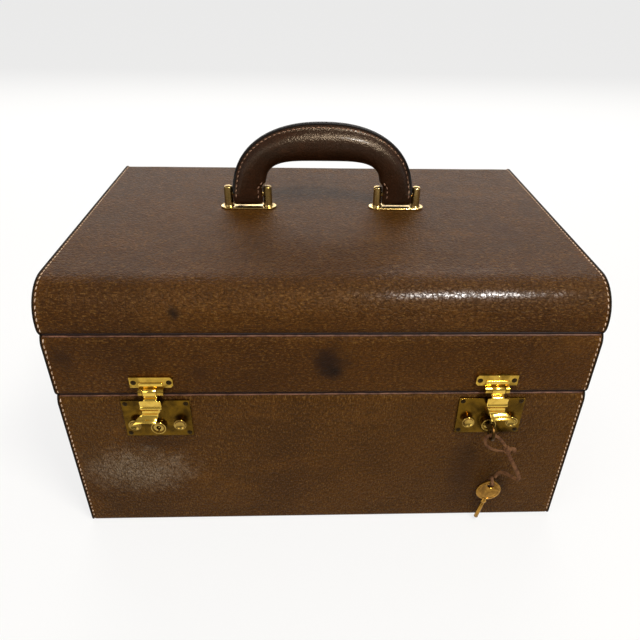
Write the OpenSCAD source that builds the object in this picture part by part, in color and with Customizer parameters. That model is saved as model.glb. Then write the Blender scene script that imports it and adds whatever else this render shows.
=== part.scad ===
// Fitted dressing box in brown leather: a deep base, a tray tier and a domed lid, each hinged at
// the back, with two brass hasp locks, a folding arched handle and a key on a leather thong.
// Origin at the centre of the resting face, +X along the width, the front faces -Y, +Z up.

/* [Case] */
// Width over the two side panels
case_w = 330; // [280:1:380]
// Depth from front to back over the side panels
case_d = 232; // [190:1:270]
// Height of the base up to the lower seam
base_h = 113; // [100:0.5:150]
// Height of the tray tier between the seams
tray_h = 43.5; // [38:0.5:60]
// Height of the lid above the upper seam
lid_h = 30.5; // [28:0.5:45]
// Gap left between two tiers when closed
seam_gap = 0.2; // [0.1:0.05:0.4]

/* [Walls] */
// Thickness of the wooden walls
wall_t = 6; // [5:0.5:8]
// Thickness of the floors of the base and the tray
floor_t = 5; // [3:0.5:7]
// Thickness of the leather over front, top, back and bottom
leather_t = 1.4; // [1:0.1:2]
// Thickness of the side panels
panel_t = 1.6; // [1.2:0.1:2.4]
// How far the painted edge of a side panel stands proud
edge_proud = 0.6; // [0.3:0.1:1]
// Thickness of the suede lining
lining_t = 1; // [0.6:0.1:1.6]
// Gap between parts that are fitted together
fit = 0.05; // [0.02:0.01:0.1]

/* [Edges] */
// Radius of the lid's front top edge
lid_front_r = 23; // [12:0.5:24]
// Radius of the lid's back top edge
lid_back_r = 15; // [8:0.5:20]
// Radius of the base's bottom edges
foot_r = 3; // [1.5:0.5:5]
// Depth of the groove at each seam
groove_d = 2.4; // [1.5:0.1:3]
// Height of the rounding under the lid's front edge
lid_roll = 6; // [4:0.5:8]
// Height of the rounding at the top of the tray and the base
rim_roll = 6.5; // [4:0.5:8]
// Height of the rounding at the bottom of the tray
tray_roll = 4.5; // [3:0.5:6]
// Depth of the groove at the back
back_groove = 1; // [0.5:0.1:1.5]
// Height of the rounding beside the back groove
back_roll = 3; // [2:0.5:4]

/* [Hinges] */
// Length of the two long hinges
hinge_l = 288; // [200:1:310]
// Radius over a hinge knuckle
knuckle_r = 2.4; // [2:0.1:3]
// Radius of a hinge pin
hinge_pin_r = 1.1; // [0.8:0.1:1.4]
// Thickness of a hinge leaf
leaf_t = 1.2; // [0.8:0.1:1.5]
// How far a leaf stops short of the wall's inner face
leaf_short = 0.4; // [0.2:0.1:1]
// Number of knuckles on one hinge
knuckles = 9; // [5:2:13]
// Gap between neighbouring knuckles
knuckle_gap = 0.3; // [0.2:0.05:0.5]

/* [Locks] */
// Distance of each lock from the middle of the case
lock_x = 105.4; // [70:0.1:125]
// Width of a lock plate
plate_w = 42; // [38:0.5:48]
// Height of a lock plate
plate_h = 28.4; // [26:0.2:34]
// Thickness of a lock plate
plate_t = 1.2; // [0.8:0.1:1.6]
// Distance of the plate's top edge below the lower seam
plate_drop = 3; // [1.6:0.1:4]
// Radius of the raised collar round the key barrel
collar_r = 4.7; // [4.2:0.1:5.2]
// Height of the collar over the plate
collar_h = 2.4; // [1.5:0.1:3.5]
// Radius of the turning key barrel
barrel_r = 3.2; // [2.8:0.1:3.6]
// Height of the barrel's axis above the plate's bottom edge
barrel_z = 8; // [5:0.1:9]
// Distance of each slide knob from the barrel's axis
knob_x = 14; // [12:0.5:16]
// Height of the slide knobs above the barrel's axis
knob_rise = 3.2; // [1:0.1:4]
// Radius of a slide knob
knob_r = 4.1; // [3.4:0.1:4.3]
// Travel of the release slide
slide_travel = 2.5; // [1.5:0.1:2.5]
// Depth of the lock case behind the plate
lock_case_d = 4.6; // [4:0.1:5]

/* [Hasps] */
// Width of the plate that carries a hasp
hasp_plate_w = 26; // [22:0.5:32]
// Height of that plate
hasp_plate_h = 7.6; // [6:0.1:10]
// Thickness of that plate
hasp_plate_t = 2; // [1.2:0.1:2.4]
// Height of the hasp's axis above the lower seam
hasp_rise = 5.2; // [4.5:0.1:7]
// Radius of the hasp's knuckle
hasp_knuckle_r = 2.6; // [2.2:0.1:3]
// Radius of the hasp's pin
hasp_pin_r = 1; // [0.7:0.1:1.2]
// Thickness of the hasp's staple
staple_w = 3; // [2:0.1:3.6]

/* [Handle] */
// Distance of each handle end from the middle
handle_x = 53.7; // [45:0.1:65]
// Distance of the handle behind the middle of the case
handle_y = 11.5; // [0:0.5:20]
// Distance between the two posts of one end
post_gap = 28; // [26:0.2:32]
// Radius of a post
post_r = 3.1; // [2.6:0.1:3.6]
// Height of a post over its plate
post_h = 15; // [13:0.5:18]
// Length of an oval post plate
mount_l = 40; // [37:0.5:44]
// Width of an oval post plate
mount_w = 12; // [9:0.5:14]
// Thickness of a post plate
mount_t = 1.2; // [0.8:0.1:2]
// Height of the handle's pins above the lid
pin_rise = 9.5; // [9:0.5:12]
// Radius of a handle pin
handle_pin_r = 1.6; // [1.2:0.1:2]
// Rise of the grip's centre line above the pins
grip_rise = 37; // [30:0.5:44]
// Height of the grip's section at the top of the arch
grip_h = 26; // [20:0.5:28]
// Thickness of the grip's section at the top of the arch
grip_t = 18; // [12:0.5:18]
// Width of the grip's ends
grip_end_w = 21; // [19:0.2:21.2]
// Thickness of the grip's ends
grip_end_t = 12.6; // [9:0.2:13]

/* [Inside] */
// Height of the boards that divide the tray
tray_board_h = 24; // [15:1:30]
// Height of the boards that divide the base
base_board_h = 62; // [40:1:80]
// Thickness of all dividing boards
board_t = 3; // [2:0.5:5]
// Width of the lid's mirror
mirror_w = 236; // [180:1:260]
// Height of the lid's mirror
mirror_h = 146; // [100:1:170]
// Thickness of the mirror glass
mirror_t = 3; // [2:0.5:4]
// Width of the mirror's frame bars
frame_w = 10; // [7:0.5:14]

/* [Keys] */
// Radius of a key's hollow shank
shank_r = 1.45; // [1.2:0.05:1.6]
// Thickness of a key's bow
bow_t = 1.8; // [1.2:0.1:2.2]
// Radius of the lace thong
thong_r = 1.1; // [0.8:0.1:1.2]

/* [Hidden] */

$fn = 64;

leather_brown = [0.33, 0.2, 0.1];
handle_brown = [0.24, 0.14, 0.08];
brass_yellow = [0.76, 0.6, 0.25];
suede_tan = [0.62, 0.47, 0.3];
wood_pale = [0.72, 0.58, 0.4];
steel_grey = [0.6, 0.6, 0.6];
glass_blue = [0.75, 0.82, 0.85];
lace_pink = [0.45, 0.3, 0.24];

LEFT = -1;
RIGHT = 1;

// Heights of the seams and the top
seam_1 = base_h;
seam_2 = base_h + tray_h;
case_h = base_h + tray_h + lid_h;
half_gap = seam_gap / 2;
front_y = -case_d / 2;
back_y = case_d / 2;

// Insets of each layer from the edge of the side panels
skin_in = edge_proud;
wood_in = edge_proud + leather_t;
room_in = wood_in + fit + wall_t;
inner_x = case_w / 2 - panel_t;
room_x = inner_x - wall_t;
skin_y = front_y + skin_in;
back_skin_y = back_y - skin_in;

// Corners of each tier: place, inward direction, height and depth of the rounding
function base_edges_at(low) = [
    [[front_y, low], [1, 1], foot_r, foot_r],
    [[back_y, low], [-1, 1], foot_r, foot_r],
    [[front_y, seam_1], [1, -1], rim_roll, groove_d],
    [[back_y, seam_1], [-1, -1], back_roll, back_groove]
];
tray_edges = [
    [[front_y, seam_1], [1, 1], tray_roll, groove_d],
    [[back_y, seam_1], [-1, 1], back_roll, back_groove],
    [[front_y, seam_2], [1, -1], rim_roll, groove_d],
    [[back_y, seam_2], [-1, -1], back_roll, back_groove]
];
lid_domes = [
    [[front_y, case_h], [1, -1], lid_front_r, lid_front_r],
    [[back_y, case_h], [-1, -1], lid_back_r, lid_back_r]
];
lid_edges = concat(lid_domes, [
    [[front_y, seam_2], [1, 1], lid_roll, groove_d],
    [[back_y, seam_2], [-1, 1], back_roll, back_groove]
]);

// Hinge axes run just behind the back
hinge_y = back_y + knuckle_r - 0.2;
leaf_w = leather_t + fit + wall_t - leaf_short;
run_gap = 0.05;
swing_gap = 0.35;

// Lock places, s measured outward from the leather of the front
plate_top = seam_1 - plate_drop;
plate_bottom = plate_top - plate_h;
barrel_axis_z = plate_bottom + barrel_z;
knob_z = barrel_axis_z + knob_rise;
knob_stem_r = 1.5;
case_half = plate_w / 2 - 1.8;
case_notch = 3.8;
case_top = plate_top - 1.6;
case_bottom = plate_bottom + 0.4;
hasp_z = seam_1 + hasp_rise;
staple_u = -1.8;
staple_low = hasp_z - 15.4;
staple_top = staple_low + 4;
staple_in = 2.2;
slot_w = staple_w + 2.4;
slot_low = staple_low - 2;
hasp_s = hasp_knuckle_r + 0.1;

// Handle heights
pin_z = case_h + pin_rise;
post_x = post_gap / 2;

// Hanging key: hole, shank end
key_hole = [115.5, -120, 35.7];
key_lean = 10;

// The thong's route, chosen along its hang
loop_route = [
    [117.6, -124.4, 75.6], [114, -125.3, 81.2], [109.6, -126.5, 86.4], [105.4, -127, 88.4],
    [102, -126.9, 85.6], [103.4, -126.3, 80], [107.4, -125.4, 75.4], [112.6, -124.7, 72.6],
    [116.6, -124.3, 72]
];
lace_route = [
    [119.8, -124.2, 71], [122.2, -124.8, 65.6], [126, -125.2, 59], [129.6, -125, 52],
    [132, -124.4, 46.4], [132.2, -122.4, 43], [130, -120.4, 42.6], [126.6, -119.2, 44.2],
    [122.6, -118.6, 46], [119.4, -118.8, 45.4], [117, -119.5, 42.6]
];

// A profile drawn in (y, z) and carried along x
module along_x(x0, x1) {
    translate([x0, 0, 0])
        rotate([90, 0, 90])
            linear_extrude(x1 - x0)
                children();
}

// A profile drawn in (x, z) and carried along y
module along_y(y0, y1) {
    translate([0, y1, 0])
        rotate([90, 0, 0])
            linear_extrude(y1 - y0)
                children();
}

// A round bar along x
module bar_x(x0, x1, r) {
    translate([x0, 0, 0])
        rotate([0, 90, 0])
            cylinder(h = x1 - x0, r = r);
}

// A round bar along y, from y0 to y1
module bar_y(y0, y1, r) {
    translate([0, y0, 0])
        rotate([-90, 0, 0])
            cylinder(h = y1 - y0, r = r);
}

// What is cut from a square corner to leave an arc that meets one face smoothly and the
// seam plane at a depth; the arc's circle is drawn in by the inset
module edge_cut(edge, inset) {
    corner = edge[0];
    inward = edge[1];
    rise = edge[2];
    depth = edge[3];
    r = (rise * rise + depth * depth) / (2 * depth);
    centre = [corner.x + inward.x * r, corner.y + inward.y * rise];
    if (r - inset > 0.2)
        difference() {
            translate([min(corner.x - inward.x, centre.x), min(corner.y - inward.y, centre.y)])
                square([r + 1, rise + 1]);
            translate(centre)
                circle(r - inset);
        }
}

// The outline of a tier seen from the side, drawn in by an inset at its outer faces
module tier_outline(z0, z1, low_face, high_face, edges, inset) {
    difference() {
        translate([front_y + inset, z0 + low_face * inset])
            square([case_d - 2 * inset, z1 - z0 - (low_face + high_face) * inset]);
        for (edge = edges)
            edge_cut(edge, inset);
    }
}

// The base's leather comes down to the same plane as the panels, so its outlines start lower
module base_outline(inset, low = -skin_in) {
    tier_outline(low, seam_1 - half_gap, 1, 0, base_edges_at(low), inset);
}

module tray_outline(inset, edges = tray_edges) {
    tier_outline(seam_1 + half_gap, seam_2 - half_gap, 0, 0, edges, inset);
}

module lid_outline(inset, edges = lid_edges) {
    tier_outline(seam_2 + half_gap, case_h, 0, 1, edges, inset);
}

// A side panel of leather at the left or right end of a tier
module side_panel(side) {
    x0 = side == LEFT ? -case_w / 2 : inner_x;
    color(leather_brown)
        along_x(x0, x0 + panel_t)
            children();
}

// A lining: a shell that follows a room and is open at one face
module lining_shell(z_low, z_high) {
    depth = case_d - 2 * (room_in + fit);
    width = 2 * (room_x - fit);
    difference() {
        translate([-width / 2, -depth / 2, z_low])
            cube([width, depth, z_high - z_low]);
        translate([-width / 2 + lining_t, -depth / 2 + lining_t, z_low + lining_t])
            cube([width - 2 * lining_t, depth - 2 * lining_t, z_high]);
    }
}

// The lock case seen from the front: a box with its corners left out for the plate's screws
module case_front(grow) {
    half = case_half + grow;
    low = case_bottom - grow;
    high = case_top + grow;
    union() {
        translate([-half + case_notch, low])
            square([2 * (half - case_notch), high - low]);
        translate([-half, low + case_notch])
            square([2 * half, high - low - 2 * case_notch]);
    }
}

// The space cut from the front for the lock case, its screws and the staple's way up
module lock_pocket(side) {
    at_lock(side) {
        along_y(skin_y - 2, skin_y + lock_case_d + fit)
            case_front(fit);
        translate([staple_u - slot_w / 2, skin_y - 2, case_top - 1])
            cube([slot_w, 2 + staple_in + 0.6, seam_1 - case_top + 1]);
        plate_screw_set(fit);
    }
}

// Places of the screws in a hinge leaf
hinge_screw_n = 6;
hinge_screw_step = (hinge_l - 28) / (hinge_screw_n - 1);
hinge_screw_y = back_y - wood_in - fit - wall_t / 2;
hinge_screw_r = 1;
hinge_head_r = 1.9;
hinge_screw_l = 7;

module hinge_screw_places() {
    for (i = [0 : hinge_screw_n - 1])
        translate([-hinge_l / 2 + 14 + i * hinge_screw_step, hinge_screw_y, 0])
            children();
}

// One countersunk screw, its head up at z = 0
module countersunk(head_r, shank, length, grow = 0) {
    rotate_extrude()
        polygon([
            [0, 0], [head_r + grow, 0], [shank + grow, -head_r + shank],
            [shank + grow, -length - grow], [0, -length - grow]
        ]);
}

// Screws of a leaf that lies up (dir 1) or down (dir -1) at height z
module leaf_screws(z, dir, grow = 0) {
    hinge_screw_places()
        translate([0, 0, z])
            mirror([0, 0, dir < 0 ? 1 : 0])
                countersunk(hinge_head_r, hinge_screw_r, hinge_screw_l, grow);
}

// The rebate for a leaf in the rim of a tier, with the leaf's top at height z
module leaf_rebate(z, dir) {
    z0 = dir > 0 ? z - leaf_t - fit : z - 1;
    translate([-hinge_l / 2 - fit, back_skin_y - leaf_w - fit, z0])
        cube([hinge_l + 2 * fit, leaf_w + 10, leaf_t + fit + 1]);
}

// One leaf of a hinge with every other knuckle; first is 0 or 1, dir 1 lies below the seam
module hinge_leaf(seam, dir, first) {
    face = seam - dir * half_gap;
    step = hinge_l / knuckles;
    color(brass_yellow)
        difference() {
            union() {
                translate([-hinge_l / 2, back_skin_y - leaf_w, dir > 0 ? face - leaf_t : face])
                    cube([hinge_l, hinge_y - knuckle_r - swing_gap - back_skin_y + leaf_w, leaf_t]);
                for (i = [first : 2 : knuckles - 1]) {
                    x0 = -hinge_l / 2 + i * step + (i > 0 ? knuckle_gap / 2 : 0);
                    x1 = -hinge_l / 2 + (i + 1) * step - (i < knuckles - 1 ? knuckle_gap / 2 : 0);
                    translate([x0, back_skin_y - 1, dir > 0 ? face - leaf_t : face])
                        cube([x1 - x0, hinge_y - back_skin_y + 1, leaf_t]);
                    translate([0, hinge_y, seam])
                        bar_x(x0, x1, knuckle_r);
                }
            }
            translate([0, hinge_y, seam])
                bar_x(-hinge_l, hinge_l, hinge_pin_r + run_gap);
            leaf_screws(face, dir, 0.02);
        }
}

module hinge_pin(seam) {
    color(brass_yellow)
        translate([0, hinge_y, seam])
            bar_x(-hinge_l / 2, hinge_l / 2, hinge_pin_r);
}

// Base

module base_carcass() {
    color(wood_pale)
        difference() {
            along_x(-inner_x, inner_x)
                base_outline(wood_in + fit);
            translate([-room_x, -case_d / 2 + room_in, wood_in + floor_t])
                cube([2 * room_x, case_d - 2 * room_in, base_h]);
            lock_pocket(LEFT);
            lock_pocket(RIGHT);
            leaf_rebate(seam_1 - half_gap, 1);
            leaf_screws(seam_1 - half_gap, 1, fit);
        }
}

module base_leather() {
    color(leather_brown)
        difference() {
            along_x(-inner_x, inner_x)
                difference() {
                    base_outline(skin_in);
                    base_outline(wood_in);
                    translate([front_y + wood_in, base_h / 2])
                        square([case_d - 2 * wood_in, base_h]);
                }
            lock_pocket(LEFT);
            lock_pocket(RIGHT);
            leaf_rebate(seam_1 - half_gap, 1);
        }
}

module base_left_panel() {
    side_panel(LEFT)
        base_outline(0, 0);
}

module base_right_panel() {
    side_panel(RIGHT)
        base_outline(0, 0);
}

module base_lining() {
    color(suede_tan)
        lining_shell(wood_in + floor_t + fit, seam_1 - half_gap);
}

// A long board and two short ones that make a row of bottle cells at the back of the base
base_row_d = 62;
base_row_y = case_d / 2 - room_in - fit - lining_t - base_row_d;
base_floor_z = wood_in + floor_t + fit + lining_t;

module base_divider() {
    width = 2 * (room_x - fit - lining_t - fit);
    depth = case_d / 2 - room_in - fit - lining_t - base_row_y - fit;
    color(suede_tan)
        translate([0, 0, base_floor_z]) {
            translate([-width / 2, base_row_y - board_t, 0])
                cube([width, board_t, base_board_h]);
            for (x = [-width / 6, width / 6])
                translate([x - board_t / 2, base_row_y - fit, 0])
                    cube([board_t, depth, base_board_h]);
        }
}

module base_hinge_leaf() {
    hinge_leaf(seam_1, 1, 0);
}

module base_hinge_pin() {
    hinge_pin(seam_1);
}

module base_hinge_screws() {
    color(brass_yellow)
        leaf_screws(seam_1 - half_gap, 1);
}

// Locks, drawn at x = 0 with the outer side at -u, then set at the left or mirrored to the right
module at_lock(side) {
    translate([side * lock_x, 0, 0])
        mirror([side > 0 ? 1 : 0, 0, 0])
            children();
}

plate_screw_x = plate_w / 2 - 2.4;
plate_screw_places = [
    for (u = [-plate_screw_x, plate_screw_x], z = [plate_bottom + 2.4, plate_top - 2.4]) [u, z]
];
plate_screw_r = 0.8;
plate_head_r = 1.6;
plate_screw_l = 6;

module plate_screw_set(grow = 0) {
    for (p = plate_screw_places)
        translate([p.x, skin_y - plate_t, p.y])
            rotate([90, 0, 0])
                countersunk(plate_head_r, plate_screw_r, plate_screw_l, grow);
}

module lock_plate(side) {
    color(brass_yellow)
        at_lock(side)
            difference() {
                union() {
                    translate([-plate_w / 2, skin_y - plate_t, plate_bottom])
                        cube([plate_w, plate_t, plate_h]);
                    translate([0, 0, barrel_axis_z])
                        bar_y(skin_y - plate_t - collar_h, skin_y, collar_r);
                }
                translate([0, 0, barrel_axis_z])
                    bar_y(skin_y - plate_t - collar_h - 1, skin_y + 1, barrel_r + run_gap);
                translate([staple_u - slot_w / 2, skin_y - plate_t - 1, slot_low])
                    cube([slot_w, plate_t + 2, plate_top - slot_low + 1]);
                for (u = [-knob_x, knob_x])
                    along_y(skin_y - plate_t - 1, skin_y + 1)
                        for (du = [-slide_travel, 0])
                            translate([u + du, knob_z])
                                circle(knob_stem_r + 0.2);
                for (u = [-knob_x, knob_x])
                    translate([u - slide_travel, skin_y - plate_t - 1, knob_z - knob_stem_r - 0.2])
                        cube([slide_travel, plate_t + 2, 2 * knob_stem_r + 0.4]);
                plate_screw_set(0.02);
            }
}

module lock_plate_left() {
    lock_plate(LEFT);
}

module lock_plate_right() {
    lock_plate(RIGHT);
}

lock_case_t = 0.9;

module lock_case(side) {
    color(brass_yellow)
        at_lock(side)
            difference() {
                along_y(skin_y + fit, skin_y + lock_case_d)
                    case_front(0);
                along_y(skin_y - 1, skin_y + lock_case_d - lock_case_t)
                    case_front(-lock_case_t);
                translate([staple_u - slot_w / 2, skin_y - 1, case_top - lock_case_t - 1])
                    cube([slot_w, staple_in + 1.6, lock_case_t + 2]);
                translate([0, 0, barrel_axis_z])
                    bar_y(skin_y, skin_y + lock_case_d + 1, barrel_r - 1 + run_gap);
            }
}

module lock_case_left() {
    lock_case(LEFT);
}

module lock_case_right() {
    lock_case(RIGHT);
}

module plate_screws() {
    color(brass_yellow)
        for (side = [LEFT, RIGHT])
            at_lock(side)
                plate_screw_set();
}

// The release slide: two knobs on one bar behind the plate, with a catch beside the staple
slide_back = 1.4;
slide_clear = 0.3;

module slide(side) {
    bar_z = barrel_axis_z + barrel_r + 1.4;
    bar_w = 3.6;
    knob_face = skin_y - plate_t - 3.4;
    color(brass_yellow)
        at_lock(side) {
            along_y(skin_y + slide_clear, skin_y + slide_clear + slide_back)
                union() {
                    translate([-knob_x - knob_stem_r, bar_z])
                        square([2 * (knob_x + knob_stem_r), bar_w]);
                    for (u = [-knob_x, knob_x]) {
                        translate([u - knob_stem_r, knob_z])
                            square([2 * knob_stem_r, bar_z - knob_z + 1]);
                        translate([u, knob_z])
                            circle(knob_stem_r);
                    }
                    translate([staple_u - staple_w / 2 - 3.6, bar_z])
                        square([3, staple_top - bar_z]);
                }
            for (u = [-knob_x, knob_x])
                translate([u, skin_y + slide_clear, knob_z])
                    rotate([90, 0, 0])
                        slide_knob(skin_y + slide_clear - knob_face);
        }
}

// A turned knob with a thin skirt, a waist and a dished face, height h from its root
module slide_knob(h) {
    skirt = plate_t + slide_clear + 0.25;
    rotate_extrude()
        polygon([
            [0, 0], [knob_stem_r, 0], [knob_stem_r, skirt], [knob_r, skirt],
            [knob_r, skirt + 0.7], [knob_r - 0.9, skirt + 1.1], [knob_r - 0.7, h - 0.6],
            [knob_r - 1, h], [knob_r - 1.6, h], [knob_r - 2.1, h - 0.7], [0, h - 0.9]
        ]);
}

module slide_left() {
    slide(LEFT);
}

module slide_right() {
    slide(RIGHT);
}

// The key barrel: a plug with a keyway bored for the pin key and a tail behind
keyway_r = shank_r + fit;

module barrel(side) {
    face = skin_y - plate_t - collar_h + 0.5;
    color(brass_yellow)
        at_lock(side)
            translate([0, 0, barrel_axis_z])
                difference() {
                    union() {
                        bar_y(face, skin_y + 2.2, barrel_r);
                        bar_y(skin_y + 2, skin_y + lock_case_d - fit, barrel_r - 1);
                    }
                    bar_y(face - 1, skin_y + 1.4, keyway_r);
                    translate([-0.6, face - 1, -barrel_r + 0.6])
                        cube([1.2, 3, barrel_r]);
                }
}

module barrel_left() {
    barrel(LEFT);
}

module barrel_right() {
    barrel(RIGHT);
}

// Tray tier

module tray_carcass() {
    color(wood_pale)
        difference() {
            along_x(-inner_x, inner_x)
                tray_outline(wood_in + fit);
            translate([-room_x, -case_d / 2 + room_in, seam_1 + half_gap + floor_t])
                cube([2 * room_x, case_d - 2 * room_in, tray_h]);
            leaf_rebate(seam_1 + half_gap, -1);
            leaf_rebate(seam_2 - half_gap, 1);
            leaf_screws(seam_1 + half_gap, -1, fit);
            leaf_screws(seam_2 - half_gap, 1, fit);
            hasp_screw_holes();
            catch_stud_set(fit);
        }
}

// The leather of the tray's front (dir -1) or back (dir 1)
module tray_leather(dir) {
    color(leather_brown)
        difference() {
            along_x(-inner_x, inner_x)
                difference() {
                    tray_outline(skin_in);
                    tray_outline(wood_in);
                    translate([-case_d / 2 + wood_in, seam_1 - 1])
                        square([case_d - 2 * wood_in, tray_h + 2]);
                    translate([dir > 0 ? -case_d : 0, seam_1 - 1])
                        square([case_d, tray_h + 2]);
                }
            leaf_rebate(seam_1 + half_gap, -1);
            leaf_rebate(seam_2 - half_gap, 1);
            hasp_screw_holes();
        }
}

module tray_front_leather() {
    tray_leather(-1);
}

module tray_back_leather() {
    tray_leather(1);
}

module tray_left_panel() {
    side_panel(LEFT)
        tray_outline(0);
}

module tray_right_panel() {
    side_panel(RIGHT)
        tray_outline(0);
}

tray_floor_z = seam_1 + half_gap + floor_t + fit;

module tray_lining() {
    color(suede_tan)
        lining_shell(tray_floor_z, seam_2 - half_gap);
}

// Boards that cross in the tray: one along the width, three along the depth
module tray_divider() {
    width = 2 * (room_x - 2 * fit - lining_t);
    depth = case_d - 2 * (room_in + 2 * fit + lining_t);
    color(suede_tan)
        translate([0, 0, tray_floor_z + lining_t]) {
            translate([-width / 2, -board_t / 2, 0])
                cube([width, board_t, tray_board_h]);
            for (x = [-width / 4, 0, width / 4])
                translate([x - board_t / 2, -depth / 2, 0])
                    cube([board_t, depth, tray_board_h]);
        }
}

module tray_lower_leaf() {
    hinge_leaf(seam_1, -1, 1);
}

module tray_upper_leaf() {
    hinge_leaf(seam_2, 1, 0);
}

module lid_hinge_pin() {
    hinge_pin(seam_2);
}

module tray_hinge_screws() {
    color(brass_yellow) {
        leaf_screws(seam_1 + half_gap, -1);
        leaf_screws(seam_2 - half_gap, 1);
    }
}

// Hasp plates on the tray's front, with two knuckles that leave room for the hasp's own
hasp_in = 2.8;
hasp_out = -5.5;
knuckle_in = 7;
knuckle_out = -8;
hasp_screw_u = hasp_plate_w / 2 - 2.4;
hasp_screw_z = hasp_z + hasp_knuckle_r + hasp_plate_h / 2;

module hasp_screw_set(grow = 0) {
    for (u = [-hasp_screw_u, hasp_screw_u])
        translate([u, skin_y - hasp_plate_t, hasp_screw_z])
            rotate([90, 0, 0])
                countersunk(1.7, 0.8, 7, grow);
}

module hasp_screw_holes() {
    for (side = [LEFT, RIGHT])
        at_lock(side)
            hasp_screw_set(fit);
}

module hasp_plate(side) {
    low = hasp_z + hasp_knuckle_r;
    color(brass_yellow)
        at_lock(side)
            difference() {
                union() {
                    along_y(skin_y - hasp_plate_t, skin_y)
                        polygon([
                            [-hasp_plate_w / 2, low], [hasp_plate_w / 2 - 1.4, low],
                            [hasp_plate_w / 2, low + 1.6],
                            [hasp_plate_w / 2, low + hasp_plate_h - 1.6],
                            [hasp_plate_w / 2 - 1.4, low + hasp_plate_h],
                            [-hasp_plate_w / 2, low + hasp_plate_h]
                        ]);
                    for (span = [[knuckle_out, hasp_out - 0.2], [hasp_in + 0.2, knuckle_in]]) {
                        translate([span[0], skin_y - hasp_plate_t, hasp_z])
                            cube([span[1] - span[0], hasp_plate_t - 0.4, hasp_knuckle_r + 1]);
                        translate([0, skin_y - hasp_s, hasp_z])
                            bar_x(span[0], span[1], hasp_knuckle_r);
                    }
                }
                translate([0, skin_y - hasp_s, hasp_z])
                    bar_x(knuckle_out - 1, knuckle_in + 1, hasp_pin_r + 0.02);
                hasp_screw_set(0.02);
            }
}

module hasp_plate_left() {
    hasp_plate(LEFT);
}

module hasp_plate_right() {
    hasp_plate(RIGHT);
}

module hasp_pin(side) {
    color(brass_yellow)
        at_lock(side)
            translate([0, skin_y - hasp_s, hasp_z])
                bar_x(knuckle_out, knuckle_in, hasp_pin_r);
}

module hasp_pin_left() {
    hasp_pin(LEFT);
}

module hasp_pin_right() {
    hasp_pin(RIGHT);
}

module hasp_plate_screws() {
    color(brass_yellow)
        for (side = [LEFT, RIGHT])
            at_lock(side)
                hasp_screw_set();
}

// The hasp: its side profile carried across, cut to its front outline, with knuckle and staple.
// The profile steps forward over the lock plate, hollows twice and ends in a curled lip.
module hasp_profile() {
    z = hasp_z;
    s0 = plate_t + 0.3;
    polygon([
        [-1, z], [-hasp_s - hasp_knuckle_r, z], [-hasp_s - hasp_knuckle_r + 0.3, z - 1.6],
        [-hasp_s - 0.9, z - 3.2], [-hasp_s - 1, z - 4.6], [-5.9, z - 4.9], [-6.2, z - 5.6],
        [-6, z - 8], [-5.9, z - 9.6], [-6.6, z - 10.4], [-6.2, z - 11.2], [-5.3, z - 12.4],
        [-4.8, z - 13.8], [-5, z - 15.2], [-4.3, z - 16.4], [-4.6, z - 17.6], [-6.2, z - 18.8],
        [-8.3, z - 19.6], [-8.6, z - 20.8], [-6, z - 20.4], [-3.8, z - 19.4], [-2.6, z - 17.8],
        [-s0, z - 16.6], [-s0, z - 5], [-1, z - 4]
    ]);
}

// The hasp's outline seen from the front, its lip flared to the outer side
module hasp_front() {
    z = hasp_z;
    polygon([
        [hasp_out, z + hasp_knuckle_r + 1], [hasp_in, z + hasp_knuckle_r + 1], [hasp_in, z - 4.6],
        [5, z - 4.9], [5, z - 10.6], [4.2, z - 12.6], [0.9, z - 18.6], [0.8, z - 19.8],
        [-0.6, z - 21], [-5, z - 20.2], [-10, z - 20.4], [-14.2, z - 21.2], [-14.4, z - 20.2],
        [-11, z - 18.2], [-8.4, z - 17], [-7.9, z - 14], [-8.3, z - 10.6], [-8.3, z - 4.9],
        [hasp_out, z - 4.6]
    ]);
}

module hasp(side) {
    color(brass_yellow)
        at_lock(side)
            difference() {
                union() {
                    intersection() {
                        translate([0, skin_y, 0])
                            along_x(-20, 20)
                                hasp_profile();
                        along_y(skin_y - 12, skin_y)
                            hasp_front();
                    }
                    translate([0, skin_y - hasp_s, hasp_z])
                        bar_x(hasp_out, hasp_in, hasp_knuckle_r);
                    translate([staple_u - staple_w / 2, skin_y - 3, staple_low])
                        cube([staple_w, 3 + staple_in, staple_top - staple_low]);
                }
                translate([0, skin_y - hasp_s, hasp_z])
                    bar_x(-20, 20, hasp_pin_r + run_gap);
            }
}

module hasp_left() {
    hasp(LEFT);
}

module hasp_right() {
    hasp(RIGHT);
}

// Two studs on the tray's rim that snap into spring clips in the lid
catch_x = inner_x - wall_t / 2;
catch_y = front_y + 30;
stud_r = 1.2;
stud_h = 6;
clip_clear = 0.3;
clip_wall = 0.6;

module catch_stud_set(grow = 0) {
    for (x = [-catch_x, catch_x])
        translate([x, catch_y, seam_2 - half_gap]) {
            translate([0, 0, -6 - grow])
                cylinder(h = 6 + grow + stud_h, r = stud_r + grow);
            if (grow == 0)
                translate([0, 0, stud_h])
                    sphere(r = stud_r + 0.2);
        }
}

module catch_studs() {
    color(brass_yellow)
        catch_stud_set();
}

clip_r = stud_r + 0.2 + clip_clear + clip_wall;

module catch_clips() {
    color(brass_yellow)
        for (x = [-catch_x, catch_x])
            translate([x, catch_y, seam_2 + half_gap])
                difference() {
                    cylinder(h = stud_h + 5, r = clip_r);
                    translate([0, 0, -1])
                        cylinder(h = stud_h + 4.4, r = clip_r - clip_wall);
                }
}

// Lid

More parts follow.
